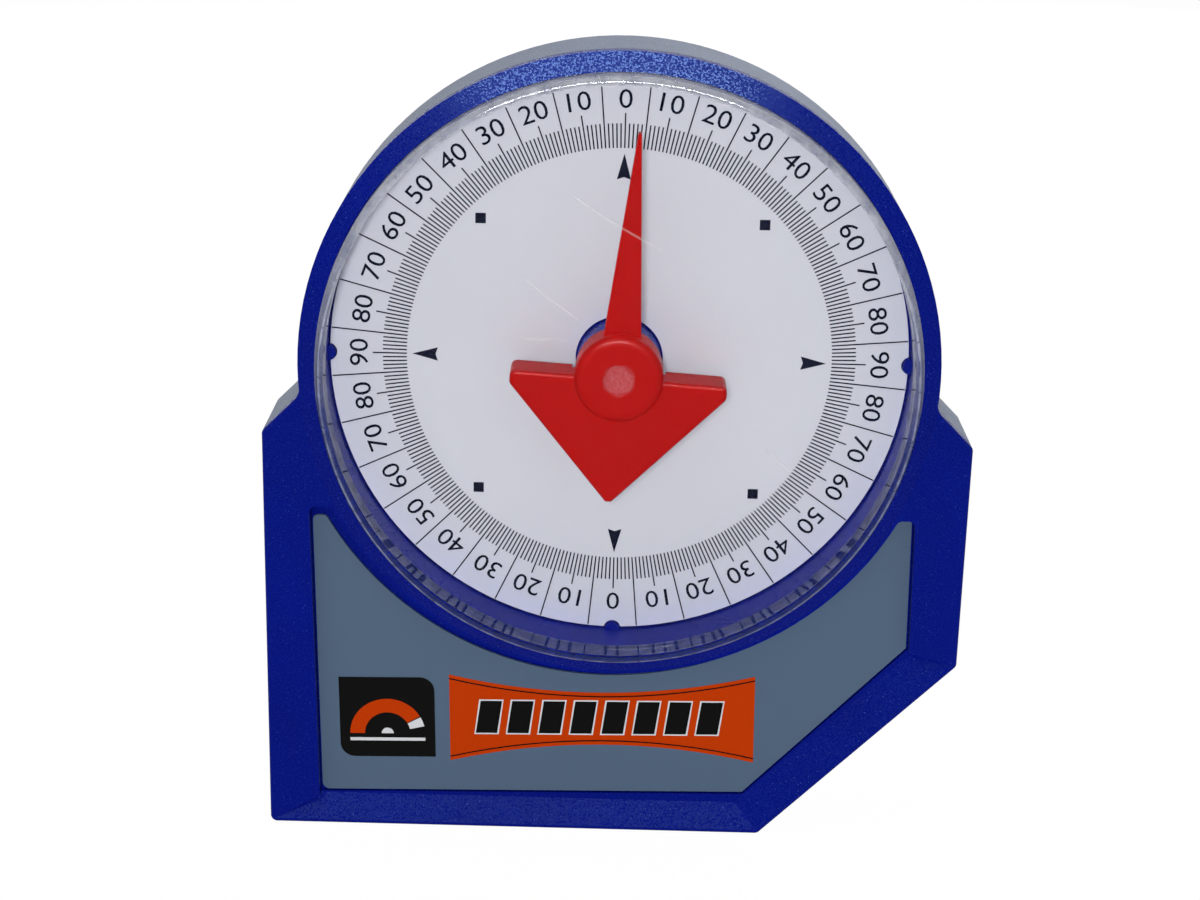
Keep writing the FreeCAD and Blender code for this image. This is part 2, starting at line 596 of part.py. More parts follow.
def label_corners():
    """Outline of the label, in the same order as the recess."""
    return [
        ("-LabelHalfWidth", "-LabelTop"),
        ("-LabelHalfWidth", "-LabelBottom"),
        ("LabelBevelX", "-LabelBottom"),
        ("LabelHalfWidth", "-LabelBevelZ"),
        ("LabelHalfWidth", "-LabelTop"),
        ("LabelLobeX", "-LabelTop"),
        ("-LabelLobeX", "-LabelTop"),
    ]


def points_of(corners):
    """Corners as pairs of numbers."""
    return [(number(across), number(up)) for across, up in corners]


def cut_label_recess(body):
    """Recess for the label, hollow along the ring, with a round lobe at each upper end."""
    sketch = new_sketch(body, "recess_outline", "RimHeight")
    draw_outline(sketch, recess_corners(), {5: ("RecessArc", "right")})
    pocket(body, "label_recess", sketch, "Places.RimHeight - Places.RecessHeight")
    lobes = [points_of(recess_corners())[index] for index in (0, 4, 5, 6)]
    round_edges(body, "recess_lobes", "Sizes.RecessLobe", upright_at(lobes))


def cut_sloping_borders(body):
    """Borders under the label and along the bevel, which fall towards the label."""
    top = new_sketch(body, "slope_top", "RimHeight")
    inner = [("InnerRightX", "-InnerRightZ"), ("InnerBevelX", "-InnerBevelZ"),
             ("-InnerLeftX", "-InnerLeftZ")]
    draw_outline(top, [("-LandSide", "-LandBottom"), ("LandBevelX", "-LandBottom"),
                       ("LandSide", "-LandBevelZ")] + inner)
    foot = new_sketch(body, "slope_foot", "SlopeHeight")
    draw_outline(foot, [("-FootLeftX", "-FootZ"), ("FootBevelX", "-FootZ"),
                        ("FootRightX", "-FootRightZ")] + inner)
    loft = body.newObject("PartDesign::SubtractiveLoft", "sloping_borders")
    loft.Profile = top
    loft.Sections = [foot]
    loft.Ruled = True
    for sketch in (top, foot):
        sketch.Visibility = False


def post_places():
    """Middles of the four screw posts, as expressions."""
    return [
        ("-Places.PostCentre", "-Sizes.UpperPostDrop"),
        ("Places.PostCentre", "-Sizes.UpperPostDrop"),
        ("-Places.PostCentre", "-Places.LowerPostDrop"),
        ("Places.BevelPost", "-Places.BevelPost"),
    ]


def make_front_case():
    """Front moulding: flat front, dial ring and well, pivot boss, keys and screw posts."""
    body = new_body("front_case")
    pad_outline(body, "front", "Outer", "RingRadius", "RimHeight",
                "Places.RimHeight - Sizes.SeamHeight")
    round_case_corners(body, "front")
    ring = number("RingRadius")
    round_edges(body, "front_rim", "Sizes.RimEdge", level_with(
        number("RimHeight"), lambda point: abs(math.hypot(point.x, point.z) - ring) > NEAR))

    revolve(body, "crown", [
        ("-SeamHeight", "SeatRadius"), ("-CrownHeight", "SeatRadius"),
        ("-RimHeight", "RingRadius"), ("-SeamHeight", "RingRadius"),
    ])
    pad_outline(body, "plug", "Plug", "CupRadius", "SeamHeight", "Sizes.PlugDepth")
    cup = new_sketch(body, "cup_outline", "PlugBack")
    pad(body, "cup", draw_circle(cup, "CupRadius"), "Places.PlugBack + Places.CupBack")
    for index, (across, up) in enumerate(post_places(), start=1):
        cylinder(body, "Additive", f"screw_post_{index}", "Places.PostRadius",
                 "Places.PlugBack + Places.CavityBack - Sizes.PostEndGap", across, up,
                 "Sizes.PostEndGap - Places.CavityBack")

    seat = new_sketch(body, "seat_outline", "CrownHeight")
    pocket(body, "lens_seat", draw_circle(seat, "SeatRadius"),
           "Places.CrownHeight - Places.LensSeat")
    well = new_sketch(body, "well_outline", "LensSeat")
    pocket(body, "dial_well", draw_circle(well, "WellRadius"),
           "Places.LensSeat + Sizes.DialThick")
    cylinder(body, "Additive", "pivot_boss", "Sizes.BossRadius",
             "Sizes.BossHeight + Sizes.DialThick", "0", "0", "-Sizes.DialThick")
    for index, angle in enumerate(KEY_ANGLES, start=1):
        cylinder(body, "Additive", f"dial_key_{index}", "Sizes.KeyRadius",
                 "Sizes.KeyHeight + Sizes.DialThick", f"Places.WellRadius * cos({angle})",
                 f"Places.WellRadius * sin({angle})", "-Sizes.DialThick")
    cylinder(body, "Subtractive", "pin_bore", "Sizes.PinRadius + Sizes.PinFit",
             "Sizes.BossHeight + Places.CupBack", "0", "0", "-Places.CupBack")
    for index, (across, up) in enumerate(post_places(), start=1):
        cylinder(body, "Subtractive", f"pilot_hole_{index}", "Places.PilotRadius",
                 "Places.PilotDepth", across, up, "Sizes.PostEndGap - Places.CavityBack")

    cut_label_recess(body)
    cut_sloping_borders(body)
    return body


def magnet_places():
    """Left ends of the base magnets, as expressions."""
    return [f"Places.KeeperLeft + {index} * Places.MagnetPitch" for index in range(MAGNET_COUNT)]


def bevel_corner(along, inward):
    """Point of the 45 degree face's own frame: along it from its middle, and into the body."""
    across = f"Places.BevelMiddleX + (({along}) - ({inward})) / Places.RootTwo"
    up = f"Places.BevelMiddleZ + (({along}) + ({inward})) / Places.RootTwo"
    return across, up


def cut_v_groove(body):
    """V groove with a flat floor along the whole base."""
    sketch = new_sketch(body, "groove_outline", plane="YZ_Plane")
    corners = [("GrooveBack", "-OuterBottom"), ("FloorBack", "-GrooveRoof"),
               ("-FloorFront", "-GrooveRoof"), ("-GrooveFront", "-OuterBottom")]
    draw_outline(sketch, corners)
    feature = body.newObject("PartDesign::Pocket", "v_groove")
    feature.Profile = sketch
    feature.Midplane = True
    feature.setExpression("Length", "2 * Places.BodyHalf + 2 * Sizes.CutOverrun")
    sketch.Visibility = False


def make_rear_case():
    """Rear shell: deep tray with a solid, grooved base and four counterbored screw holes."""
    body = new_body("rear_case")
    pad_outline(body, "rear", "Outer", "RingRadius", "CollarFoot",
                "Places.CollarFoot + Sizes.CaseBack")
    round_case_corners(body, "rear")
    chamfer_edges(body, "back_edge", "Places.BackChamfer", level_with(-number("CaseBack")))
    pad_outline(body, "collar", "Collar", "CollarRadius", "SeamHeight", "Sizes.SeamGroove")

    tray = new_sketch(body, "tray_outline", "SeamHeight")
    pocket(body, "tray", draw_outline(tray, body_corners("Tray")),
           "Sizes.PlugDepth + Sizes.ShellGap")
    inside = new_sketch(body, "cavity_body_outline", "SeamHeight")
    depth = "Sizes.SeamHeight + Places.CavityBack"
    pocket(body, "cavity_body", draw_outline(inside, body_corners("Cavity")), depth)
    round_cavity = new_sketch(body, "cavity_ring_outline", "SeamHeight")
    pocket(body, "cavity_ring", draw_circle(round_cavity, "CavityRadius"), depth)

    cut_v_groove(body)
    gap = "2 * Sizes.MagnetGap"
    front = "-Places.GrooveMiddle - Sizes.{} / 2 - Sizes.MagnetGap"
    for index, left in enumerate(magnet_places(), start=1):
        box_cut(body, f"magnet_pocket_{index}",
                (f"Sizes.MagnetLength + {gap}", f"Sizes.MagnetWidth + {gap}",
                 "Places.BaseBlock - Sizes.GrooveDepth + Sizes.CutOverrun"),
                (f"{left} - Sizes.MagnetGap", front.format("MagnetWidth"),
                 "Sizes.GrooveDepth - Places.DialHeight"))
    box_cut(body, "keeper_slot",
            (f"Places.KeeperLength + {gap}", f"Sizes.MagnetWidth + {gap}", "Places.BaseBlock"),
            ("Places.KeeperLeft - Sizes.MagnetGap", front.format("MagnetWidth"),
             "Places.KeeperFoot - Places.DialHeight"))
    for index, side in enumerate(BEVEL_SIDES, start=1):
        start = f"{side} * Places.BevelMagnetPitch - Sizes.BevelMagnetLength / 2 - Sizes.MagnetGap"
        across, up = bevel_corner(start, "-Sizes.MagnetGap")
        box_cut(body, f"bevel_pocket_{index}",
                (f"Sizes.BevelMagnetLength + {gap}", f"Sizes.BevelMagnetWidth + {gap}",
                 f"Places.BevelBlock + {gap}"),
                (across, front.format("BevelMagnetWidth"), up), BEVEL_TURN)
    across, up = bevel_corner("-Places.BevelKeeperLength / 2 - Sizes.MagnetGap",
                              "Sizes.MagnetThick")
    box_cut(body, "bevel_keeper_slot",
            (f"Places.BevelKeeperLength + {gap}", f"Sizes.BevelMagnetWidth + {gap}",
             "Places.BevelBlock"),
            (across, front.format("BevelMagnetWidth"), up), BEVEL_TURN)

    for index, (across, up) in enumerate(post_places(), start=1):
        cylinder(body, "Subtractive", f"screw_hole_{index}", "Places.ScrewHoleRadius",
                 "Sizes.BackWall + 2 * Sizes.CutOverrun", across, up,
                 "-Sizes.CaseBack - Sizes.CutOverrun")
        cylinder(body, "Subtractive", f"head_pocket_{index}", "Places.HeadPocketRadius",
                 "Places.HeadPocketDepth + Sizes.CutOverrun", across, up,
                 "-Sizes.CaseBack - Sizes.CutOverrun")
    return body


def make_dial_plate():
    """Printed disc with a hole for the boss and a notch round each locating key."""
    body = new_body("dial_plate")
    disc = new_sketch(body, "dial_outline")
    pad(body, "disc", draw_circle(disc, "DialRadius"), "Sizes.DialThick")
    cylinder(body, "Subtractive", "boss_hole", "Places.DialHole",
             "Sizes.DialThick + 2 * Sizes.CutOverrun", "0", "0",
             "-Sizes.DialThick - Sizes.CutOverrun")
    for index, angle in enumerate(KEY_ANGLES, start=1):
        cylinder(body, "Subtractive", f"key_notch_{index}", "Sizes.KeyRadius + Sizes.KeyGap",
                 "Sizes.DialThick + 2 * Sizes.CutOverrun", f"Places.WellRadius * cos({angle})",
                 f"Places.WellRadius * sin({angle})", "-Sizes.DialThick - Sizes.CutOverrun")
    return body


def make_lens():
    """Clear dish: a flat front, an edge rounded in three flats and a skirt on the ledge."""
    body = new_body("lens")
    revolve(body, "dish", [
        ("-LensSeat", "SkirtInside"), ("-LensInside", "SkirtInside"), ("-LensInside", "0"),
        ("-LensHeight", "0"), ("-LensHeight", "LensTurn"),
        ("-FirstFlatHeight", "FirstFlatRadius"), ("-SecondFlatHeight", "SecondFlatRadius"),
        ("-LensTurnHeight", "LensRadius"), ("-LensSeat", "LensRadius"),
    ])
    return body


def make_label_plate():
    """Thin label, a little crooked in its recess."""
    body = doc.addObject("PartDesign::Body", "label_plate")
    body.Label = "label_plate"
    body.Placement.Rotation = FreeCAD.Rotation(FreeCAD.Vector(0, -1, 0), 1.0)
    body.setExpression(".Placement.Rotation.Angle", "Sizes.LabelTilt")
    body.setExpression(".Placement.Base.x", "-Sizes.LabelPivot * sin(Sizes.LabelTilt)")
    body.setExpression(".Placement.Base.y", "Places.DialDepth")
    body.setExpression(".Placement.Base.z",
                       "Places.DialHeight - Sizes.LabelPivot * (1 - cos(Sizes.LabelTilt))")
    sketch = new_sketch(body, "label_outline", "RecessHeight")
    draw_outline(sketch, label_corners(), {5: ("LabelArc", "right")})
    pad(body, "label_sheet", sketch, "Sizes.LabelThick", away=False)
    points = points_of(label_corners())
    round_edges(body, "label_lobes", "Sizes.LobeRadius",
                upright_at([points[index] for index in (0, 4, 5, 6)]))
    round_edges(body, "label_corner", "Sizes.LabelCorner", upright_at([points[1]]))
    return body


def make_pointer():
    """Pointer: hub with a blind bore, tapered needle and triangular tail, in one moulding."""
    body = new_body("pointer", "ReadingAngle")
    tail = new_sketch(body, "tail_outline", "TailFront")
    draw_outline(tail, [
        ("-TailHalfSpan", "-TailTop"), ("-TailHalfSpan", "-TailEndFoot"),
        ("-TailPointHalf", "-TailPoint"), ("TailPointHalf", "-TailPoint"),
        ("TailHalfSpan", "-TailEndFoot"), ("TailHalfSpan", "-TailTop"),
    ])
    pad(body, "tail", tail, "Places.TailFront - Places.TailBack")
    span = number("TailHalfSpan")
    ends = [(side * span, up) for side in (-1, 1)
            for up in (-number("TailTop"), -number("TailEndFoot"))]
    round_edges(body, "tail_corners", "Places.TailRound", upright_at(ends))
    round_edges(body, "tail_edge", "Sizes.TailEdge", level_with(number("TailFront")))

    cylinder(body, "Subtractive", "boss_relief", "Sizes.BossRadius + Sizes.TailRelief",
             "Places.HubBack - Places.TailBack + Sizes.CutOverrun", "0", "0",
             "Places.TailBack - Sizes.CutOverrun")
    revolve(body, "hub", [
        ("-HubBack", "0"), ("-DimpleFloor", "0"), ("-DimpleFloor", "DimpleRadius"),
        ("-HubFront", "DimpleRim"), ("-HubFront", "HubTurn"), ("-HubTurnHeight", "HubRadius"),
        ("-HubBack", "HubRadius"),
    ], {4: ("HubRound", "right")})
    needle = new_sketch(body, "needle_outline", "NeedleFront")
    draw_outline(needle, [
        ("-NeedleRoot", "0"), ("NeedleRoot", "0"), ("NeedleRoot", "NeedleRootHeight"),
        ("NeedlePoint", "NeedleTip"), ("-NeedlePoint", "NeedleTip"),
        ("-NeedleRoot", "NeedleRootHeight"),
    ])
    pad(body, "needle", needle, "Sizes.NeedleThick")
    cylinder(body, "Subtractive", "hub_bore", "Sizes.BushRadius + Sizes.BushFit",
             "Places.HubBoreEnd - Places.TailBack + Sizes.CutOverrun", "0", "0",
             "Places.TailBack - Sizes.CutOverrun")
    cylinder(body, "Subtractive", "slug_bore", "Sizes.SlugRadius + Sizes.SlugFit",
             "Sizes.SlugLength + Sizes.CutOverrun", "0", "-Sizes.SlugDrop",
             "Places.TailBack - Sizes.CutOverrun")
    return body


def make_pointer_weight():
    """Metal slug, flush with the back of the tail."""
    body = new_body("pointer_weight", "ReadingAngle")
    cylinder(body, "Additive", "slug", "Sizes.SlugRadius", "Sizes.SlugLength", "0",
             "-Sizes.SlugDrop", "Places.TailBack")
    return body


def make_hub_bush():
    """Brass bush in the hub."""
    body = new_body("hub_bush", "ReadingAngle")
    cylinder(body, "Additive", "bush", "Sizes.BushRadius", "Places.BushLength", "0", "0",
             "Places.BushBack")
    cylinder(body, "Subtractive", "bush_bore", "Sizes.PinRadius + Sizes.PinRunning",
             "Places.BushLength + 2 * Sizes.CutOverrun", "0", "0",
             "Places.BushBack - Sizes.CutOverrun")
    return body


def make_pivot_pin():
    """Headed pin with a conical tip, held in the boss."""
    body = new_body("pivot_pin")
    revolve(body, "pin", [
        ("PinHeadBack", "0"), ("-PinReach", "0"), ("-PinTaper", "PinRadius"),
        ("CupBack", "PinRadius"), ("CupBack", "PinHeadRadius"), ("PinHeadBack", "PinHeadRadius"),
    ])
    return body


def make_thrust_washer():
    """Thin washer on the boss, under the hub."""
    body = new_body("thrust_washer")
    cylinder(body, "Additive", "washer", "Sizes.WasherRadius", "Sizes.WasherThick", "0", "0",
             "Sizes.BossHeight")
    cylinder(body, "Subtractive", "washer_bore", "Sizes.PinRadius + Sizes.WasherGap",
             "Sizes.WasherThick + 2 * Sizes.CutOverrun", "0", "0",
             "Sizes.BossHeight - Sizes.CutOverrun")
    return body


def new_box(label, size, corner, turn=0.0):
    """Separate box, placed in the case's standing frame."""
    box = doc.addObject("Part::Box", label)
    box.Label = label
    across, depth, up = corner
    set_box(box, size, (across, f"Places.DialDepth + {depth}", f"Places.DialHeight + {up}"), turn)
    return box


def make_magnets():
    """Ferrite blocks of the base and of the 45 degree face, each under a steel keeper."""
    front = "-Places.GrooveMiddle - Sizes.{} / 2"
    pieces = []
    for index, left in enumerate(magnet_places(), start=1):
        pieces.append(new_box(
            f"base_magnet_{index}",
            ("Sizes.MagnetLength", "Sizes.MagnetWidth", "Sizes.MagnetThick"),
            (left, f"({front.format('MagnetWidth')})", "(Sizes.GrooveDepth - Places.DialHeight)")))
    pieces.append(new_box(
        "base_keeper", ("Places.KeeperLength", "Sizes.MagnetWidth", "Sizes.KeeperThick"),
        ("Places.KeeperLeft", f"({front.format('MagnetWidth')})",
         "(Places.KeeperFoot - Places.DialHeight)")))
    for index, side in enumerate(BEVEL_SIDES, start=1):
        across, up = bevel_corner(
            f"{side} * Places.BevelMagnetPitch - Sizes.BevelMagnetLength / 2", "0")
        pieces.append(new_box(
            f"bevel_magnet_{index}",
            ("Sizes.BevelMagnetLength", "Sizes.BevelMagnetWidth", "Sizes.MagnetThick"),
            (across, f"({front.format('BevelMagnetWidth')})", f"({up})"), BEVEL_TURN))
    across, up = bevel_corner("-Places.BevelKeeperLength / 2", "Sizes.MagnetThick")
    pieces.append(new_box(
        "bevel_keeper",
        ("Places.BevelKeeperLength", "Sizes.BevelMagnetWidth", "Sizes.KeeperThick"),
        (across, f"({front.format('BevelMagnetWidth')})", f"({up})"), BEVEL_TURN))
    return pieces


def make_case_screws():
    """Four self-tapping screws with cross recesses, as one group of solids."""
    screws = []
    for index, (across, up) in enumerate(post_places(), start=1):
        head_back = "-Sizes.CaseBack + Places.HeadPocketDepth - Sizes.ScrewHeadHeight"
        head = screw_cylinder(f"screw_head_{index}", "Sizes.ScrewHeadRadius",
                              "Sizes.ScrewHeadHeight", across, up, head_back)
        shank = screw_cylinder(f"screw_shank_{index}", "Sizes.ScrewRadius",
                               "Sizes.ScrewLength + Sizes.ScrewHeadHeight", across, up, head_back)
        whole = doc.addObject("Part::MultiFuse", f"screw_{index}")
        whole.Shapes = [head, shank]
        slots = []
        for turn, (length, width) in enumerate((("DriveLength", "DriveWidth"),
                                                ("DriveWidth", "DriveLength"))):
            slot = doc.addObject("Part::Box", f"drive_slot_{index}_{turn}")
            set_box(slot, (f"Sizes.{length}", "Sizes.DriveDepth + Sizes.CutOverrun", f"Sizes.{width}"),
                    (f"{across} - Sizes.{length} / 2",
                     f"-({head_back}) - Sizes.DriveDepth", f"{up} - Sizes.{width} / 2"))
            slots.append(slot)
        cross = doc.addObject("Part::MultiFuse", f"drive_cross_{index}")
        cross.Shapes = slots
        cut = doc.addObject("Part::Cut", f"cut_screw_{index}")
        cut.Base = whole
        cut.Tool = cross
        screws.append(cut)
    group = doc.addObject("Part::Compound", "case_screws")
    group.Label = "case_screws"
    group.Links = screws
    place(group)
    return group


def screw_cylinder(name, radius, length, across, up, height):
    """Cylinder of a screw, along the pointer's direction."""
    solid = doc.addObject("Part::Cylinder", name)
    solid.Placement = FreeCAD.Placement(
        FreeCAD.Vector(0, 0, 0), FreeCAD.Rotation(FreeCAD.Vector(1, 0, 0), 90))
    solid.setExpression("Radius", radius)
    solid.setExpression("Height", length)
    solid.setExpression(".Placement.Base.x", across)
    solid.setExpression(".Placement.Base.y", f"-({height})")
    solid.setExpression(".Placement.Base.z", up)
    return solid


def check_and_export(pieces):
    """Stop at a failed object or a bad solid, then write one file for each piece."""
    doc.recompute()
    for item in doc.Objects:
        if "Invalid" in item.State or "Error" in item.State:
            raise RuntimeError(f"{item.Name} is {item.State}")
    os.makedirs("parts", exist_ok=True)
    for piece in pieces:
        shape = piece.Shape
        if shape.isNull() or not shape.isValid() or not shape.Solids:
            raise RuntimeError(f"{piece.Label} has no valid solid")
        shape.exportStep(f"parts/{piece.Label}.step")
        print(f"{piece.Label}: {len(shape.Solids)} solid, {shape.Volume:.1f} cubic mm")


pieces = [
    make_front_case(),
    make_rear_case(),
    make_dial_plate(),
    make_lens(),
    make_label_plate(),
    make_pointer(),
    make_pointer_weight(),
    make_hub_bush(),
    make_pivot_pin(),
    make_thrust_washer(),
    make_case_screws(),
    *make_magnets(),
]
check_and_export(pieces)
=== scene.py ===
"""Looks of a dial inclinometer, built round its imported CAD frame.

Lengths are in metres, in the frame of the CAD model: X to the reader's right, Y away from the
reader, Z up from the base. Points on the dial are given as (across, up) from the pointer's axis.
"""

import logging
import math
from dataclasses import dataclass, field
from enum import Enum
from functools import partial
from typing import Callable, Iterable, Sequence

import bmesh
import bpy
from mathutils import Matrix, Vector


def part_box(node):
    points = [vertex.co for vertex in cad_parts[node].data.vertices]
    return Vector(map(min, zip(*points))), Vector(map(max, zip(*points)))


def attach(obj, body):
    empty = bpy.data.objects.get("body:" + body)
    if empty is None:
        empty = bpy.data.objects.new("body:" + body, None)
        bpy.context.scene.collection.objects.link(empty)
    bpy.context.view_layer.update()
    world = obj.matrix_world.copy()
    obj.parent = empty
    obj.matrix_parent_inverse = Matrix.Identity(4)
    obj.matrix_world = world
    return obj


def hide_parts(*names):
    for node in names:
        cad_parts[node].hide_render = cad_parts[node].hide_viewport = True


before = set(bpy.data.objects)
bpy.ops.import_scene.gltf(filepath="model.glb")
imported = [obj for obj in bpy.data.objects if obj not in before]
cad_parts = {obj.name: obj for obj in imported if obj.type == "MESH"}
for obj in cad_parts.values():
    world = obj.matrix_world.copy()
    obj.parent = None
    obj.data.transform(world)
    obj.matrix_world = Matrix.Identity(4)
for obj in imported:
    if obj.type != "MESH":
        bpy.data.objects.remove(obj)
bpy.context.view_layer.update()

log = logging.getLogger("inclinometer")

MM = 0.001
HOUSING = "housing"
DIAL_LOW, DIAL_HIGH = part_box("dial_plate")
AXIS_HEIGHT = (DIAL_LOW.z + DIAL_HIGH.z) / 2

# Sockets of the Mix node when it mixes colours.
MIX_FIRST, MIX_SECOND, MIX_RESULT = 6, 7, 2

Colour = tuple[float, float, float]
Point = tuple[float, float]
Range = tuple[float, float]


class Plane(Enum):
    """Flat faces that print lies on, by the node that carries them."""

    DIAL = "dial_plate"
    LABEL = "label_plate"

    @property
    def depth(self) -> float:
        """Y of the printed face."""
        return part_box(self.value)[0].y


def linear(red: int, green: int, blue: int) -> Colour:
    """Turn a screen colour of 0 to 255 into the linear values that a shader takes.

    Args:
        red: Red, 0 to 255.
        green: Green, 0 to 255.
        blue: Blue, 0 to 255.

    Returns:
        The three linear values.
    """
    def one(value: int) -> float:
        """Linear value of one channel."""
        share = value / 255
        return share / 12.92 if share <= 0.04045 else ((share + 0.055) / 1.055) ** 2.4

    return one(red), one(green), one(blue)


def add_node(tree: bpy.types.NodeTree, kind: str, inputs: dict | None = None, **settings: object
             ) -> bpy.types.Node:
    """Add and link one node.

    Args:
        tree: Tree of a material, of the world or of geometry.
        kind: Blender's name of the node type.
        inputs: Values or sockets for named or numbered inputs.
        **settings: Properties of the node.

    Returns:
        The new node.
    """
    node = tree.nodes.new(kind)
    for key, value in settings.items():
        setattr(node, key, value)
    for key, value in (inputs or {}).items():
        if isinstance(value, bpy.types.NodeSocket):
            tree.links.new(value, node.inputs[key])
        else:
            node.inputs[key].default_value = value
    return node


class Nodes:
    """Small helper that adds and links the nodes of one material."""

    def __init__(self, name: str) -> None:
        """Start an empty material.

        Args:
            name: Name of the material.
        """
        self.material = bpy.data.materials.new(name)
        self.material.use_nodes = True
        self.tree = self.material.node_tree
        self.tree.nodes.clear()

    def add(self, kind: str, inputs: dict | None = None, **settings: object) -> bpy.types.Node:
        """Add a node.

        Args:
            kind: Blender's name of the node type, without its prefix.
            inputs: Values or sockets for named or numbered inputs.
            **settings: Properties of the node.

        Returns:
            The new node.
        """
        return add_node(self.tree, "ShaderNode" + kind, inputs, **settings)

    def math(self, operation: str, *values: object) -> bpy.types.NodeSocket:
        """Add a math node and return its result.

        Args:
            operation: Name of the operation.
            *values: Numbers or sockets, in order.

        Returns:
            The node's output socket.
        """
        return self.add("Math", dict(enumerate(values)), operation=operation).outputs[0]

    def position(self) -> bpy.types.NodeSocket:
        """Object coordinates, which are the CAD frame's metres."""
        return self.add("TexCoord").outputs["Object"]

    def about_axis(self) -> tuple[bpy.types.NodeSocket, bpy.types.NodeSocket, bpy.types.NodeSocket]:
        """Place in the plane of the dial.

        Returns:
            Sockets of the distance across, the height over the axis and the radius from it.
        """
        spot = self.add("SeparateXYZ", {0: self.position()})
        across, up = spot.outputs[0], self.math("SUBTRACT", spot.outputs[2], AXIS_HEIGHT)
        flat = self.add("CombineXYZ", {0: across, 2: up}).outputs[0]
        return across, up, self.add("VectorMath", {0: flat}, operation="LENGTH").outputs["Value"]

    def noise(self, scale: float, detail: float = 2.0, rough: float = 0.5) -> bpy.types.NodeSocket:
        """Noise value on object coordinates.

        Args:
            scale: Cells per metre.
            detail: Octaves.
            rough: Weight of the finer octaves.

        Returns:
            The value socket.
        """
        inputs = {"Vector": self.position(), "Scale": scale, "Detail": detail, "Roughness": rough}
        return self.add("TexNoise", inputs).outputs[0]

    def ramp(self, value: bpy.types.NodeSocket, low: float, high: float) -> bpy.types.NodeSocket:
        """Clamp a value's range to 0 to 1.

        Args:
            value: Socket to map.
            low: Value that becomes 0.
            high: Value that becomes 1.

        Returns:
            The mapped socket.
        """
        inputs = {"Value": value, "From Min": low, "From Max": high}
        return self.add("MapRange", inputs, clamp=True).outputs[0]

    def mix(self, share: object, first: object, second: object) -> bpy.types.NodeSocket:
        """Mix two colours.

        Args:
            share: Number or socket, 0 for the first colour and 1 for the second.
            first: Colour or socket.
            second: Colour or socket.

        Returns:
            The mixed colour.
        """
        def full(colour: object) -> object:
            """Colour with an alpha, or the socket as it is."""
            return colour if isinstance(colour, bpy.types.NodeSocket) else (*colour, 1.0)

        inputs = {0: share, MIX_FIRST: full(first), MIX_SECOND: full(second)}
        return self.add("Mix", inputs, data_type="RGBA").outputs[MIX_RESULT]

    def bump(self, height: bpy.types.NodeSocket, depth: float, strength: float = 1.0
             ) -> bpy.types.NodeSocket:
        """Bump from a height value.

        Args:
            height: Height, 0 to 1.
            depth: Depth of the relief in metres.
            strength: Share of the effect.

        Returns:
            The normal socket.
        """
        inputs = {"Height": height, "Distance": depth, "Strength": strength}
        return self.add("Bump", inputs).outputs[0]

    def finish(self, shader: bpy.types.NodeSocket) -> bpy.types.Material:
        """Link a shader to the output.

        Args:
            shader: Shader socket.

        Returns:
            The material.
        """
        self.add("OutputMaterial", {"Surface": shader})
        return self.material


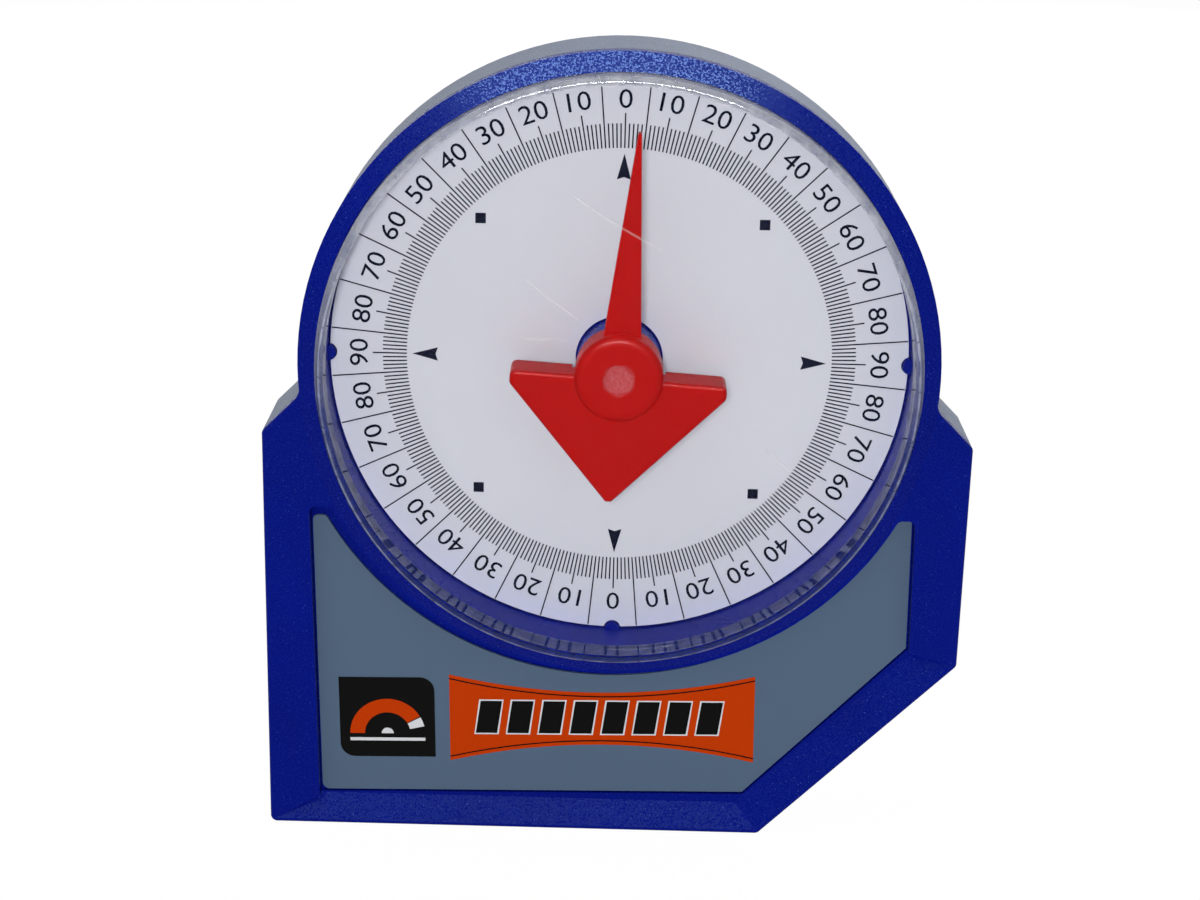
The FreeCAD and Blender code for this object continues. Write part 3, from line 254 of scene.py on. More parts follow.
@dataclass(frozen=True)
class Moulded:
    """Moulded plastic with fine spark-eroded grain, uneven polish and painted glints as pale
    specks.
    """

    name: str
    colour: Colour
    roughness: Range
    specular: float
    gloss_tint: Colour = (1.0, 1.0, 1.0)
    grain_scale: float = 3600.0
    grain_depth: float = 0.012 * MM
    grain_strength: float = 0.6
    cloud_scale: float = 70.0
    cloud_range: Range = (0.3, 0.7)
    mottle: float = 0.08
    # Pale specks painted into the colour as glints, with their noise scale and thresholds.
    painted_glint: Colour = (0.03, 0.06, 0.3)
    glint_scale: float = 4800.0
    glint_low: float = 0.7
    glint_high: float = 0.8
    polish_scale: float = 3900.0
    polish_range: Range = (0.38, 0.56)
    gate: Colour | None = None
    gate_radius: float = 2.1 * MM
    gate_fade: Range = (1.05 * MM, 0.35 * MM)
    gate_rag: float = 1.4 * MM
    gate_rag_scale: float = 900.0
    gate_grain_scale: float = 2600.0
    gate_grain_range: Range = (0.3, 0.65)
    gate_least: float = 0.4

    def gate_share(self, nodes: Nodes) -> bpy.types.NodeSocket:
        """Share of the frosted mark round the axis where the moulding was gated.

        Args:
            nodes: Helper of the material being built.

        Returns:
            Socket that is 1 on the mark and 0 away from it.
        """
        ragged = nodes.math("MULTIPLY_ADD", nodes.noise(self.gate_rag_scale, 3.0), self.gate_rag,
                            nodes.about_axis()[2])
        outer, inner = self.gate_fade
        near = nodes.ramp(ragged, self.gate_radius + outer, self.gate_radius + inner)
        grains = nodes.ramp(nodes.noise(self.gate_grain_scale, 1.0), *self.gate_grain_range)
        uneven = nodes.math("MULTIPLY_ADD", grains, 1 - self.gate_least, self.gate_least)
        return nodes.math("MULTIPLY", near, uneven)

    def material(self) -> bpy.types.Material:
        """Build the node material.

        Returns:
            The material.
        """
        nodes = Nodes(self.name)
        cloud = nodes.ramp(nodes.noise(self.cloud_scale, 4.0, 0.6), *self.cloud_range)
        darker = tuple(c * (1 - self.mottle) for c in self.colour)
        lighter = tuple(min(1.0, c * (1 + self.mottle)) for c in self.colour)
        # Painted glints: pale specks mixed into the colour.
        painted_glint = nodes.ramp(nodes.noise(self.glint_scale, 0.0), self.glint_low, self.glint_high)
        colour = nodes.mix(painted_glint, nodes.mix(cloud, darker, lighter), self.painted_glint)
        if self.gate:
            colour = nodes.mix(self.gate_share(nodes), colour, self.gate)
        spots = nodes.ramp(nodes.noise(self.polish_scale, 0.0), *self.polish_range)
        low, high = self.roughness
        grain = nodes.noise(self.grain_scale, 1.0)
        shader = nodes.add("BsdfPrincipled", {
            "Base Color": colour,
            "Roughness": nodes.math("MULTIPLY_ADD", spots, high - low, low),
            "Specular IOR Level": self.specular,
            "Specular Tint": (*self.gloss_tint, 1.0),
            "Normal": nodes.bump(grain, self.grain_depth, self.grain_strength),
        })
        return nodes.finish(shader.outputs[0])


@dataclass(frozen=True)
class Sheet:
    """Printed sheet: satin, very slightly uneven, with faint smudges."""

    name: str
    colour: Colour
    roughness: float = 0.5
    specular: float = 0.06
    smudge: Colour = (0.6, 0.6, 0.6)
    smudge_share: float = 0.08
    smudge_scale: float = 55.0
    smudge_range: Range = (0.52, 0.78)
    grain_scale: float = 5200.0
    grain_depth: float = 0.002 * MM
    grain_strength: float = 0.4

    def material(self) -> bpy.types.Material:
        """Build the node material.

        Returns:
            The material.
        """
        nodes = Nodes(self.name)
        cloud = nodes.ramp(nodes.noise(self.smudge_scale, 4.0, 0.6), *self.smudge_range)
        share = nodes.math("MULTIPLY", cloud, self.smudge_share)
        grain = nodes.noise(self.grain_scale)
        shader = nodes.add("BsdfPrincipled", {
            "Base Color": nodes.mix(share, self.colour, self.smudge),
            "Roughness": self.roughness,
            "Specular IOR Level": self.specular,
            "Normal": nodes.bump(grain, self.grain_depth, self.grain_strength),
        })
        return nodes.finish(shader.outputs[0])


@dataclass(frozen=True)
class Ink:
    """Printing ink, a little uneven where it lies thin."""

    name: str
    colour: Colour
    roughness: float = 0.45
    specular: float = 0.03
    thin_scale: float = 2400.0
    thin_range: Range = (0.35, 0.75)
    thin_share: float = 0.95
    thin_lift: float = 0.001

    def material(self) -> bpy.types.Material:
        """Build the node material.

        Returns:
            The material.
        """
        nodes = Nodes(self.name)
        thin = nodes.ramp(nodes.noise(self.thin_scale), *self.thin_range)
        paler = tuple(c * self.thin_share + self.thin_lift for c in self.colour)
        shader = nodes.add("BsdfPrincipled", {
            "Base Color": nodes.mix(thin, self.colour, paler),
            "Roughness": self.roughness,
            "Specular IOR Level": self.specular,
        })
        return nodes.finish(shader.outputs[0])


@dataclass(frozen=True)
class Clear:
    """Polished clear plastic with a few hair scratches and a painted sheet on its skirt.

    The sheet is a pale painted reflection on its upper half and a dark painted shade below. Light
    for the dial passes straight through.
    """

    name: str
    tint: Colour = (0.985, 0.99, 1.0)
    ior: float = 1.49
    mirror: Colour = (0.06, 0.06, 0.07)
    rim_mirror: Colour = (0.7, 0.7, 0.7)
    roughness: float = 0.015
    skirt_radius: float = 41.3 * MM
    skirt_fade: float = 0.1 * MM
    # Colours of the painted sheet on the skirt: dark painted shade below, pale painted reflection
    # on the upper half.
    rim_shade: Colour = (0.006, 0.02, 0.13)
    rim_highlight: Colour = (0.5, 0.52, 0.57)
    rim_highlight_heights: Range = (-6.0 * MM, 24.0 * MM)
    rim_highlight_scale: float = 320.0
    rim_highlight_range: Range = (0.0, 0.5)
    rim_paint_scale: float = 500.0
    rim_paint_range: Range = (0.3, 0.7)
    rim_paint_share: float = 0.62
    rim_paint_least: float = 0.5
    scratches: tuple[tuple[float, float, float, float], ...] = ()
    scratch_colour: Colour = (0.75, 0.72, 0.7)
    scratch_share: float = 0.22
    scratch_bow: float = 6.0
    scratch_width: Range = (0.1 * MM, 0.03 * MM)
    scratch_fade: float = 1.5 * MM

    def scratch_mask(self, nodes: Nodes) -> bpy.types.NodeSocket:
        """Mask of the hair scratches, each a short bowed line in the plane of the dial.

        Args:
            nodes: Helper of the material being built.

        Returns:
            Socket that is 1 on a scratch and 0 elsewhere.
        """
        across, up, _ = nodes.about_axis()
        total = None
        for x0, z0, x1, z1 in self.scratches:
            run = Vector(((x1 - x0) * MM, (z1 - z0) * MM))
            length = run.length
            along_x, along_z = run / length
            dx = nodes.math("SUBTRACT", across, x0 * MM)
            dz = nodes.math("SUBTRACT", up, z0 * MM)
            along = nodes.math("ADD", nodes.math("MULTIPLY", dx, along_x),
                               nodes.math("MULTIPLY", dz, along_z))
            aside = nodes.math("SUBTRACT", nodes.math("MULTIPLY", dx, along_z),
                               nodes.math("MULTIPLY", dz, along_x))
            left = nodes.math("SUBTRACT", length, along)
            bow = nodes.math("MULTIPLY", nodes.math("MULTIPLY", along, left), self.scratch_bow)
            aside = nodes.math("ABSOLUTE", nodes.math("SUBTRACT", aside, bow))
            within = nodes.math("MULTIPLY", nodes.ramp(along, 0.0, self.scratch_fade),
                                nodes.ramp(along, length, length - self.scratch_fade))
            one = nodes.math("MULTIPLY", nodes.ramp(aside, *self.scratch_width), within)
            total = one if total is None else nodes.math("MAXIMUM", total, one)
        return total

    def painted_rim(self, nodes: Nodes) -> bpy.types.NodeSocket:
        """Colour of the painted sheet on the skirt: pale painted reflection above, dark painted
        shade below.

        Args:
            nodes: Helper of the material being built.

        Returns:
            The colour socket.
        """
        high = nodes.ramp(nodes.about_axis()[1], *self.rim_highlight_heights)
        patchy = nodes.ramp(nodes.noise(self.rim_highlight_scale, 3.0), *self.rim_highlight_range)
        return nodes.mix(nodes.math("MULTIPLY", high, patchy), self.rim_shade, self.rim_highlight)

    def material(self) -> bpy.types.Material:
        """Build the node material.

        Returns:
            The material.
        """
        nodes = Nodes(self.name)
        skirt = nodes.ramp(nodes.about_axis()[2], self.skirt_radius - self.skirt_fade,
                           self.skirt_radius)
        glass = nodes.add("BsdfPrincipled", {
            "Base Color": (*self.tint, 1.0),
            "Roughness": self.roughness,
            "IOR": self.ior,
            "Specular Tint": nodes.mix(skirt, self.mirror, self.rim_mirror),
            "Transmission Weight": 1.0,
        }).outputs[0]
        if self.scratches:
            haze = nodes.add("BsdfDiffuse", {"Color": (*self.scratch_colour, 1.0)}).outputs[0]
            share = nodes.math("MULTIPLY", self.scratch_mask(nodes), self.scratch_share)
            glass = nodes.add("MixShader", {0: share, 1: glass, 2: haze}).outputs[0]
        # Painted sheet over the skirt: pale painted reflection on its upper half, dark painted
        # shade below.
        painted_rim = nodes.add("BsdfDiffuse", {"Color": self.painted_rim(nodes)}).outputs[0]
        patchy = nodes.ramp(nodes.noise(self.rim_paint_scale, 3.0), *self.rim_paint_range)
        uneven = nodes.math("MULTIPLY_ADD", patchy, 1 - self.rim_paint_least, self.rim_paint_least)
        share = nodes.math("MULTIPLY", nodes.math("MULTIPLY", uneven, skirt), self.rim_paint_share)
        glass = nodes.add("MixShader", {0: share, 1: glass, 2: painted_rim}).outputs[0]
        path = nodes.add("LightPath").outputs
        through = nodes.math("MAXIMUM", path["Is Shadow Ray"], path["Is Diffuse Ray"])
        clear = nodes.add("BsdfTransparent", {"Color": (*self.tint, 1.0)}).outputs[0]
        return nodes.finish(nodes.add("MixShader", {0: through, 1: glass, 2: clear}).outputs[0])


@dataclass(frozen=True)
class Metal:
    """Metal with fine brushed streaks along one axis."""

    name: str
    colour: Colour
    roughness: float
    metallic: float = 1.0
    streak: tuple[float, float, float] = (60.0, 2500.0, 2500.0)
    streak_range: Range = (0.3, 0.7)
    streak_depth: float = 0.004 * MM
    streak_strength: float = 0.3
    shade: float = 0.8

    def material(self) -> bpy.types.Material:
        """Build the node material.

        Returns:
            The material.
        """
        nodes = Nodes(self.name)
        stretched = nodes.add("Mapping", {"Vector": nodes.position(), "Scale": self.streak})
        lines = nodes.add("TexNoise", {"Vector": stretched.outputs[0], "Scale": 1.0, "Detail": 3.0})
        value = lines.outputs[0]
        darker = tuple(c * self.shade for c in self.colour)
        shader = nodes.add("BsdfPrincipled", {
            "Base Color": nodes.mix(nodes.ramp(value, *self.streak_range), darker, self.colour),
            "Metallic": self.metallic,
            "Roughness": self.roughness,
            "Normal": nodes.bump(value, self.streak_depth, self.streak_strength),
        })
        return nodes.finish(shader.outputs[0])


# The pale speck colours given below are painted glints.
BLUE_CASE = Moulded("case_blue", linear(0, 12, 114), (0.15, 0.55), 0.1,
                    gloss_tint=(0.34, 0.56, 1.0), grain_depth=0.016 * MM, grain_strength=0.8,
                    glint_low=0.75, glint_high=0.85)
GREY_SHELL = Moulded("shell_grey", linear(120, 129, 148), (0.45, 0.55), 0.08,
                     painted_glint=linear(176, 182, 196))
RED_POINTER = Moulded("pointer_red", linear(168, 3, 0), (0.16, 0.5), 0.05, mottle=0.03,
                      grain_depth=0.024 * MM, painted_glint=linear(205, 50, 44), glint_low=0.74,
                      gate=linear(180, 86, 90))
DIAL_SHEET = Sheet("dial_sheet", linear(205, 206, 212), smudge=linear(182, 184, 189))
LABEL_SHEET = Sheet("label_sheet", linear(79, 97, 118), specular=0.03,
                    smudge=linear(92, 108, 128))
NAVY_INK = Ink("ink_navy", linear(9, 14, 32))
BLACK_INK = Ink("ink_black", linear(9, 10, 9))
ORANGE_INK = Ink("ink_orange", linear(182, 54, 0))
WHITE_INK = Ink("ink_white", linear(205, 207, 210))
CLEAR_LENS = Clear("lens_clear", scratches=(
    (-7.6, 26.7, 5.8, 18.8), (-13.9, 15.1, -5.5, 8.7), (-13.7, 6.2, -6.9, 5.9),
    (20.5, -9.0, 25.0, -13.0),
))
STEEL = Metal("steel_bright", (0.62, 0.62, 0.63), 0.35)
BRASS = Metal("brass_turned", (0.72, 0.52, 0.22), 0.32)
FERRITE = Metal("ferrite_sintered", (0.035, 0.035, 0.038), 0.62, metallic=0.2,
                streak=(1500.0, 1500.0, 1500.0))


def dress(node: str, material: bpy.types.Material) -> None:
    """Give a CAD node its material.

    Args:
        node: Name of the node.
        material: Material for all its slots.
    """
    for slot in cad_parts[node].material_slots:
        slot.material = material
    log.info("dressed %s", node)


def mesh_object(name: str, mesh: bpy.types.Mesh, material: bpy.types.Material
                ) -> bpy.types.Object:
    """Make an object at the origin from a mesh.

    Args:
        name: Name of the piece.
        mesh: Mesh with its place in its vertices.
        material: Its material.

    Returns:
        The linked object.
    """
    mesh.name = name
    mesh.materials.clear()
    mesh.materials.append(material)
    piece = bpy.data.objects.new(name, mesh)
    bpy.context.scene.collection.objects.link(piece)
    return piece


def adopt(piece: bpy.types.Object, body: str) -> bpy.types.Object:
    """Let a finished piece ride on its body.

    Args:
        piece: The piece.
        body: CAD body that it moves with.

    Returns:
        The piece.
    """
    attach(piece, body)
    log.info("added %s: %d faces", piece.name, len(piece.data.polygons))
    return piece


def extrude_outline(points: Sequence[Point], height: float, depth: float) -> bmesh.types.BMesh:
    """Thin plate with a polygon outline, parallel to the dial.

    Args:
        points: Corners in metres as (across, up) in the CAD frame.
        height: Thickness of the plate.
        depth: Y of its back face.

    Returns:
        The plate as a new bmesh.
    """
    shape = bmesh.new()
    back = [shape.verts.new((x, depth, z)) for x, z in points]
    front = [shape.verts.new((x, depth - height, z)) for x, z in points]
    shape.faces.new(back)
    shape.faces.new(front[::-1])
    for index in range(len(points)):
        after = (index + 1) % len(points)
        shape.faces.new((back[index], front[index], front[after], back[after]))
    bmesh.ops.recalc_face_normals(shape, faces=shape.faces)
    return shape


def joined(name: str, shapes: Iterable[bmesh.types.BMesh]) -> bpy.types.Mesh:
    """Join several bmeshes into one mesh.

    Args:
        name: Name of the mesh.
        shapes: The bmeshes, which are freed.

    Returns:
        The mesh.
    """
    whole = bmesh.new()
    for shape in shapes:
        part = bpy.data.meshes.new("part")
        shape.to_mesh(part)
        shape.free()
        whole.from_mesh(part)
        bpy.data.meshes.remove(part)
    mesh = bpy.data.meshes.new(name)
    whole.to_mesh(mesh)
    whole.free()
    return mesh


@dataclass
class TickRing:
    """Ring of radial ticks, made by one Geometry Nodes tree."""

    name: str
    count: int
    first: float
    inner: float
    outer: float
    width: float
    skip: int = 0
    thickness: float = 0.02 * MM

    def tree(self, material: bpy.types.Material) -> bpy.types.GeometryNodeTree:
        """Build the tree.

        Args:
            material: Ink of the ticks.

        Returns:
            The node tree.
        """
        tree = bpy.data.node_groups.new(self.name, "GeometryNodeTree")
        for label, kind in (("Count", "NodeSocketInt"), ("First", "NodeSocketFloat"),
                            ("Inner", "NodeSocketFloat"), ("Outer", "NodeSocketFloat"),
                            ("Width", "NodeSocketFloat"), ("Thickness", "NodeSocketFloat"),
                            ("Skip", "NodeSocketInt"), ("Depth", "NodeSocketFloat"),
                            ("Axis Height", "NodeSocketFloat")):
            tree.interface.new_socket(label, in_out="INPUT", socket_type=kind)
        tree.interface.new_socket("Geometry", in_out="OUTPUT", socket_type="NodeSocketGeometry")

        add = partial(add_node, tree)

        def calc(operation: str, *values: object) -> bpy.types.NodeSocket:
            """Add a math node and return its result."""
            return add("ShaderNodeMath", dict(enumerate(values)), operation=operation).outputs[0]

        given = add("NodeGroupInput").outputs
        index = add("GeometryNodeInputIndex").outputs[0]
        turn = calc("ADD", given["First"], calc("DIVIDE", calc("MULTIPLY", index, math.tau),
                                                given["Count"]))
        middle = calc("MULTIPLY", calc("ADD", given["Inner"], given["Outer"]), 0.5)
        across = calc("MULTIPLY", middle, calc("SINE", turn))
        up = calc("ADD", calc("MULTIPLY", middle, calc("COSINE", turn)), given["Axis Height"])
        front = calc("SUBTRACT", given["Depth"], calc("MULTIPLY", given["Thickness"], 0.5))
        place = add("ShaderNodeCombineXYZ", {0: across, 1: front, 2: up}).outputs[0]
        points = add("GeometryNodePoints", {"Count": given["Count"], "Position": place}).outputs[0]
        step = calc("MAXIMUM", given["Skip"], 1.0)
        left = calc("COMPARE", calc("MODULO", index, step), 0.0, 0.5)
        skipped = calc("MULTIPLY", left, calc("GREATER_THAN", given["Skip"], 0.5))
        stored = add("ShaderNodeCombineXYZ", {1: turn}).outputs[0]
        captured = add("GeometryNodeStoreNamedAttribute",
                       {"Geometry": points, "Name": "turn", "Value": stored},
                       data_type="FLOAT_VECTOR", domain="POINT").outputs[0]
        kept = add("GeometryNodeDeleteGeometry", {"Geometry": captured, "Selection": skipped},
                   domain="POINT").outputs[0]
        length = calc("SUBTRACT", given["Outer"], given["Inner"])
        size = add("ShaderNodeCombineXYZ", {0: given["Width"], 1: given["Thickness"], 2: length})
        bar = add("GeometryNodeMeshCube", {"Size": size.outputs[0]}).outputs["Mesh"]
        read = add("GeometryNodeInputNamedAttribute", {"Name": "turn"}, data_type="FLOAT_VECTOR")
        placed = add("GeometryNodeInstanceOnPoints",
                     {"Points": kept, "Instance": bar, "Rotation": read.outputs[0]}).outputs[0]
        real = add("GeometryNodeRealizeInstances", {"Geometry": placed}).outputs[0]
        inked = add("GeometryNodeSetMaterial", {"Geometry": real, "Material": material}).outputs[0]
        add("NodeGroupOutput", {"Geometry": inked})
        return tree

    def build(self, material: bpy.types.Material) -> bpy.types.Object:
        """Run the tree and keep its result as a plain mesh.

        Args:
            material: Ink of the ticks.

        Returns:
            The ring of ticks.
        """
        carrier = bpy.data.objects.new(self.name + "_carrier", bpy.data.meshes.new("carrier"))
        bpy.context.scene.collection.objects.link(carrier)
        modifier = carrier.modifiers.new("ticks", "NODES")
        tree = self.tree(material)
        modifier.node_group = tree
        values = {"Count": self.count, "First": self.first, "Inner": self.inner,
                  "Outer": self.outer, "Width": self.width, "Thickness": self.thickness,
                  "Skip": self.skip, "Depth": Plane.DIAL.depth, "Axis Height": AXIS_HEIGHT}
        for item in tree.interface.items_tree:
            if item.in_out == "INPUT":
                modifier[item.identifier] = values[item.name]
        bpy.context.view_layer.update()
        graph = bpy.context.evaluated_depsgraph_get()
        mesh = bpy.data.meshes.new_from_object(carrier.evaluated_get(graph))
        bpy.data.objects.remove(carrier)
        return mesh_object(self.name, mesh, material)


@dataclass
class DialPrint:
    """Scale, numerals, arrowheads and corner marks printed on the dial."""

    steps: int = 36
    step_degrees: int = 10
    fine_ticks: int = 360
    fine_skip: int = 5
    scale_inner: float = 30.58 * MM
    fine_outer: float = 34.04 * MM
    long_outer: float = 35.5 * MM
    line_outer: float = 41.5 * MM
    tick_width: float = 0.2 * MM
    numeral_radius: float = 37.5 * MM
    numeral_height: float = 2.68 * MM
    numeral_wide: float = 1.12
    font_extrude: float = 0.01
    font_steps: int = 3
    arrow_tip: float = 29.8 * MM
    arrow_base: float = 26.1 * MM
    arrow_half: float = 1.0 * MM
    arrow_notch: float = 0.35 * MM
    mark_half: float = 0.75 * MM
    mark_place: float = 20.1 * MM
    print_height: float = 0.02 * MM

    def reading(self, step: int) -> str:
        """Numeral at a step, clockwise from the top, up to 90 and back in each half."""
        quarter = self.steps // 4
        return str(self.step_degrees * (quarter - abs(quarter - step % (2 * quarter))))

    def numeral(self, text: str) -> bpy.types.Mesh:
        """One numeral as a thin mesh about its own middle, upright in X and Z.

        Args:
            text: The figures.

        Returns:
            The mesh.
        """
        curve = bpy.data.curves.new("figures", "FONT")
        curve.body = text
        curve.size = 1.0
        curve.extrude = self.font_extrude
        curve.resolution_u = self.font_steps
        writer = bpy.data.objects.new("figures", curve)
        bpy.context.scene.collection.objects.link(writer)
        bpy.context.view_layer.update()
        graph = bpy.context.evaluated_depsgraph_get()
        mesh = bpy.data.meshes.new_from_object(writer.evaluated_get(graph))
        bpy.data.objects.remove(writer)
        xs = [v.co.x for v in mesh.vertices]
        ys = [v.co.y for v in mesh.vertices]
        tall = max(ys) - min(ys)
        scale = self.numeral_height / tall
        centre = Vector(((max(xs) + min(xs)) / 2, (max(ys) + min(ys)) / 2, 0))
        thin = self.print_height / (2 * self.font_extrude)
        flat = Matrix.Diagonal((scale * self.numeral_wide, scale, thin, 1))
        mesh.transform(Matrix.Rotation(math.pi / 2, 4, "X") @ flat @ Matrix.Translation(-centre))
        return mesh

    def numerals(self, ink: bpy.types.Material) -> bpy.types.Object:
        """All numerals, tops outward.

        Args:
            ink: Their material.

        Returns:
            The piece.
        """
        whole = bmesh.new()
        figures: dict[str, bpy.types.Mesh] = {}
        for step in range(self.steps):
            text = self.reading(step)
            if text not in figures:
                figures[text] = self.numeral(text)
            turn = math.tau * step / self.steps
            place = Vector((self.numeral_radius * math.sin(turn),
                            Plane.DIAL.depth - self.print_height / 2,
                            AXIS_HEIGHT + self.numeral_radius * math.cos(turn)))
            copy = figures[text].copy()
            copy.transform(Matrix.Translation(place) @ Matrix.Rotation(turn, 4, "Y"))
            whole.from_mesh(copy)
            bpy.data.meshes.remove(copy)
        mesh = bpy.data.meshes.new("dial_numerals")
        bmesh.ops.recalc_face_normals(whole, faces=whole.faces)
        whole.to_mesh(mesh)
        whole.free()
        return mesh_object("dial_numerals", mesh, ink)

    def marks(self, ink: bpy.types.Material) -> bpy.types.Object:
        """Four arrowheads with hollow bases and four small squares.

        Args:
            ink: Their material.

        Returns:
            The piece.
        """
        shapes = []
        for quarter in range(4):
            turn = quarter * math.pi / 2
            head = [(0.0, self.arrow_tip), (self.arrow_half, self.arrow_base),
                    (0.0, self.arrow_base + self.arrow_notch), (-self.arrow_half, self.arrow_base)]
            points = [(x * math.cos(turn) + r * math.sin(turn),
                       AXIS_HEIGHT - x * math.sin(turn) + r * math.cos(turn)) for x, r in head]
            shapes.append(extrude_outline(points, self.print_height, Plane.DIAL.depth))
            side = 1 if quarter in (0, 1) else -1
            level = 1 if quarter in (0, 3) else -1
            middle = (side * self.mark_place, AXIS_HEIGHT + level * self.mark_place)
            square = [(middle[0] + sx * self.mark_half, middle[1] + sz * self.mark_half)
                      for sx, sz in ((-1, -1), (1, -1), (1, 1), (-1, 1))]
            shapes.append(extrude_outline(square, self.print_height, Plane.DIAL.depth))
        return mesh_object("dial_marks", joined("dial_marks", shapes), ink)

    def build(self) -> None:
        """Build and place all the print of the dial."""
        ink = NAVY_INK.material()
        half_step = math.tau / (2 * self.steps)
        rings = (
            TickRing("dial_fine_ticks", self.fine_ticks, 0.0, self.scale_inner, self.fine_outer,
                     self.tick_width, skip=self.fine_skip),
            TickRing("dial_long_ticks", self.steps, 0.0, self.scale_inner, self.long_outer,
                     self.tick_width),
            TickRing("dial_lines", self.steps, half_step, self.scale_inner, self.line_outer,
                     self.tick_width),
        )
        for ring in rings:
            adopt(ring.build(ink), HOUSING)
        adopt(self.numerals(ink), HOUSING)
        adopt(self.marks(ink), HOUSING)
        dress("dial_plate", DIAL_SHEET.material())


@dataclass
class Lens:
    """Clear dish over the dial, turned from one closed profile."""

    wall: float = 1.2 * MM
    edge: float = 1.2 * MM
    inner_edge: float = 0.1 * MM
    segments: int = 256
    arc_steps: int = 10
    crease: float = math.radians(35)

    def profile(self) -> list[Point]:
        """Closed profile as (radius, depth in Y), from the inner middle round to the outer."""
        low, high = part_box("lens")
        radius = (high.x - low.x) / 2
        front, back = low.y, high.y
        inside = radius - self.wall
        points = [(0.0, front + self.wall)]
        for step in range(self.arc_steps + 1):
            angle = math.pi / 2 * step / self.arc_steps
            points.append((inside - self.inner_edge * (1 - math.sin(angle)),
                           front + self.wall + self.inner_edge * (1 - math.cos(angle))))
        points += [(inside, back), (radius, back)]
        for step in range(self.arc_steps + 1):
            angle = math.pi / 2 * step / self.arc_steps
            points.append((radius - self.edge * (1 - math.cos(angle)),
                           front + self.edge * (1 - math.sin(angle))))
        points.append((0.0, front))
        return points

    def build(self) -> None:
        """Turn the profile and put it in place of the CAD lens."""
        shape = bmesh.new()
        rings = []
        for radius, depth in self.profile():
            if radius == 0.0:
                rings.append([shape.verts.new((0.0, depth, AXIS_HEIGHT))])
                continue
            ring = []
            for index in range(self.segments):
                turn = math.tau * index / self.segments
                ring.append(shape.verts.new((radius * math.sin(turn), depth,
                                             AXIS_HEIGHT + radius * math.cos(turn))))
            rings.append(ring)
        for first, second in zip(rings, rings[1:]):
            for index in range(self.segments):
                after = (index + 1) % self.segments
                if len(first) == 1:
                    shape.faces.new((first[0], second[index], second[after]))
                elif len(second) == 1:
                    shape.faces.new((first[after], first[index], second[0]))
                else:
                    shape.faces.new((first[index], second[index], second[after], first[after]))
        bmesh.ops.recalc_face_normals(shape, faces=shape.faces)
        for edge in shape.edges:
            if edge.is_manifold and edge.calc_face_angle(0.0) > self.crease:
                edge.smooth = False
        for face in shape.faces:
            face.smooth = True
        mesh = bpy.data.meshes.new("lens_dish")
        shape.to_mesh(mesh)
        shape.free()
        piece = mesh_object("lens_dish", mesh, CLEAR_LENS.material())
        adopt(piece, HOUSING)
        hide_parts("lens")


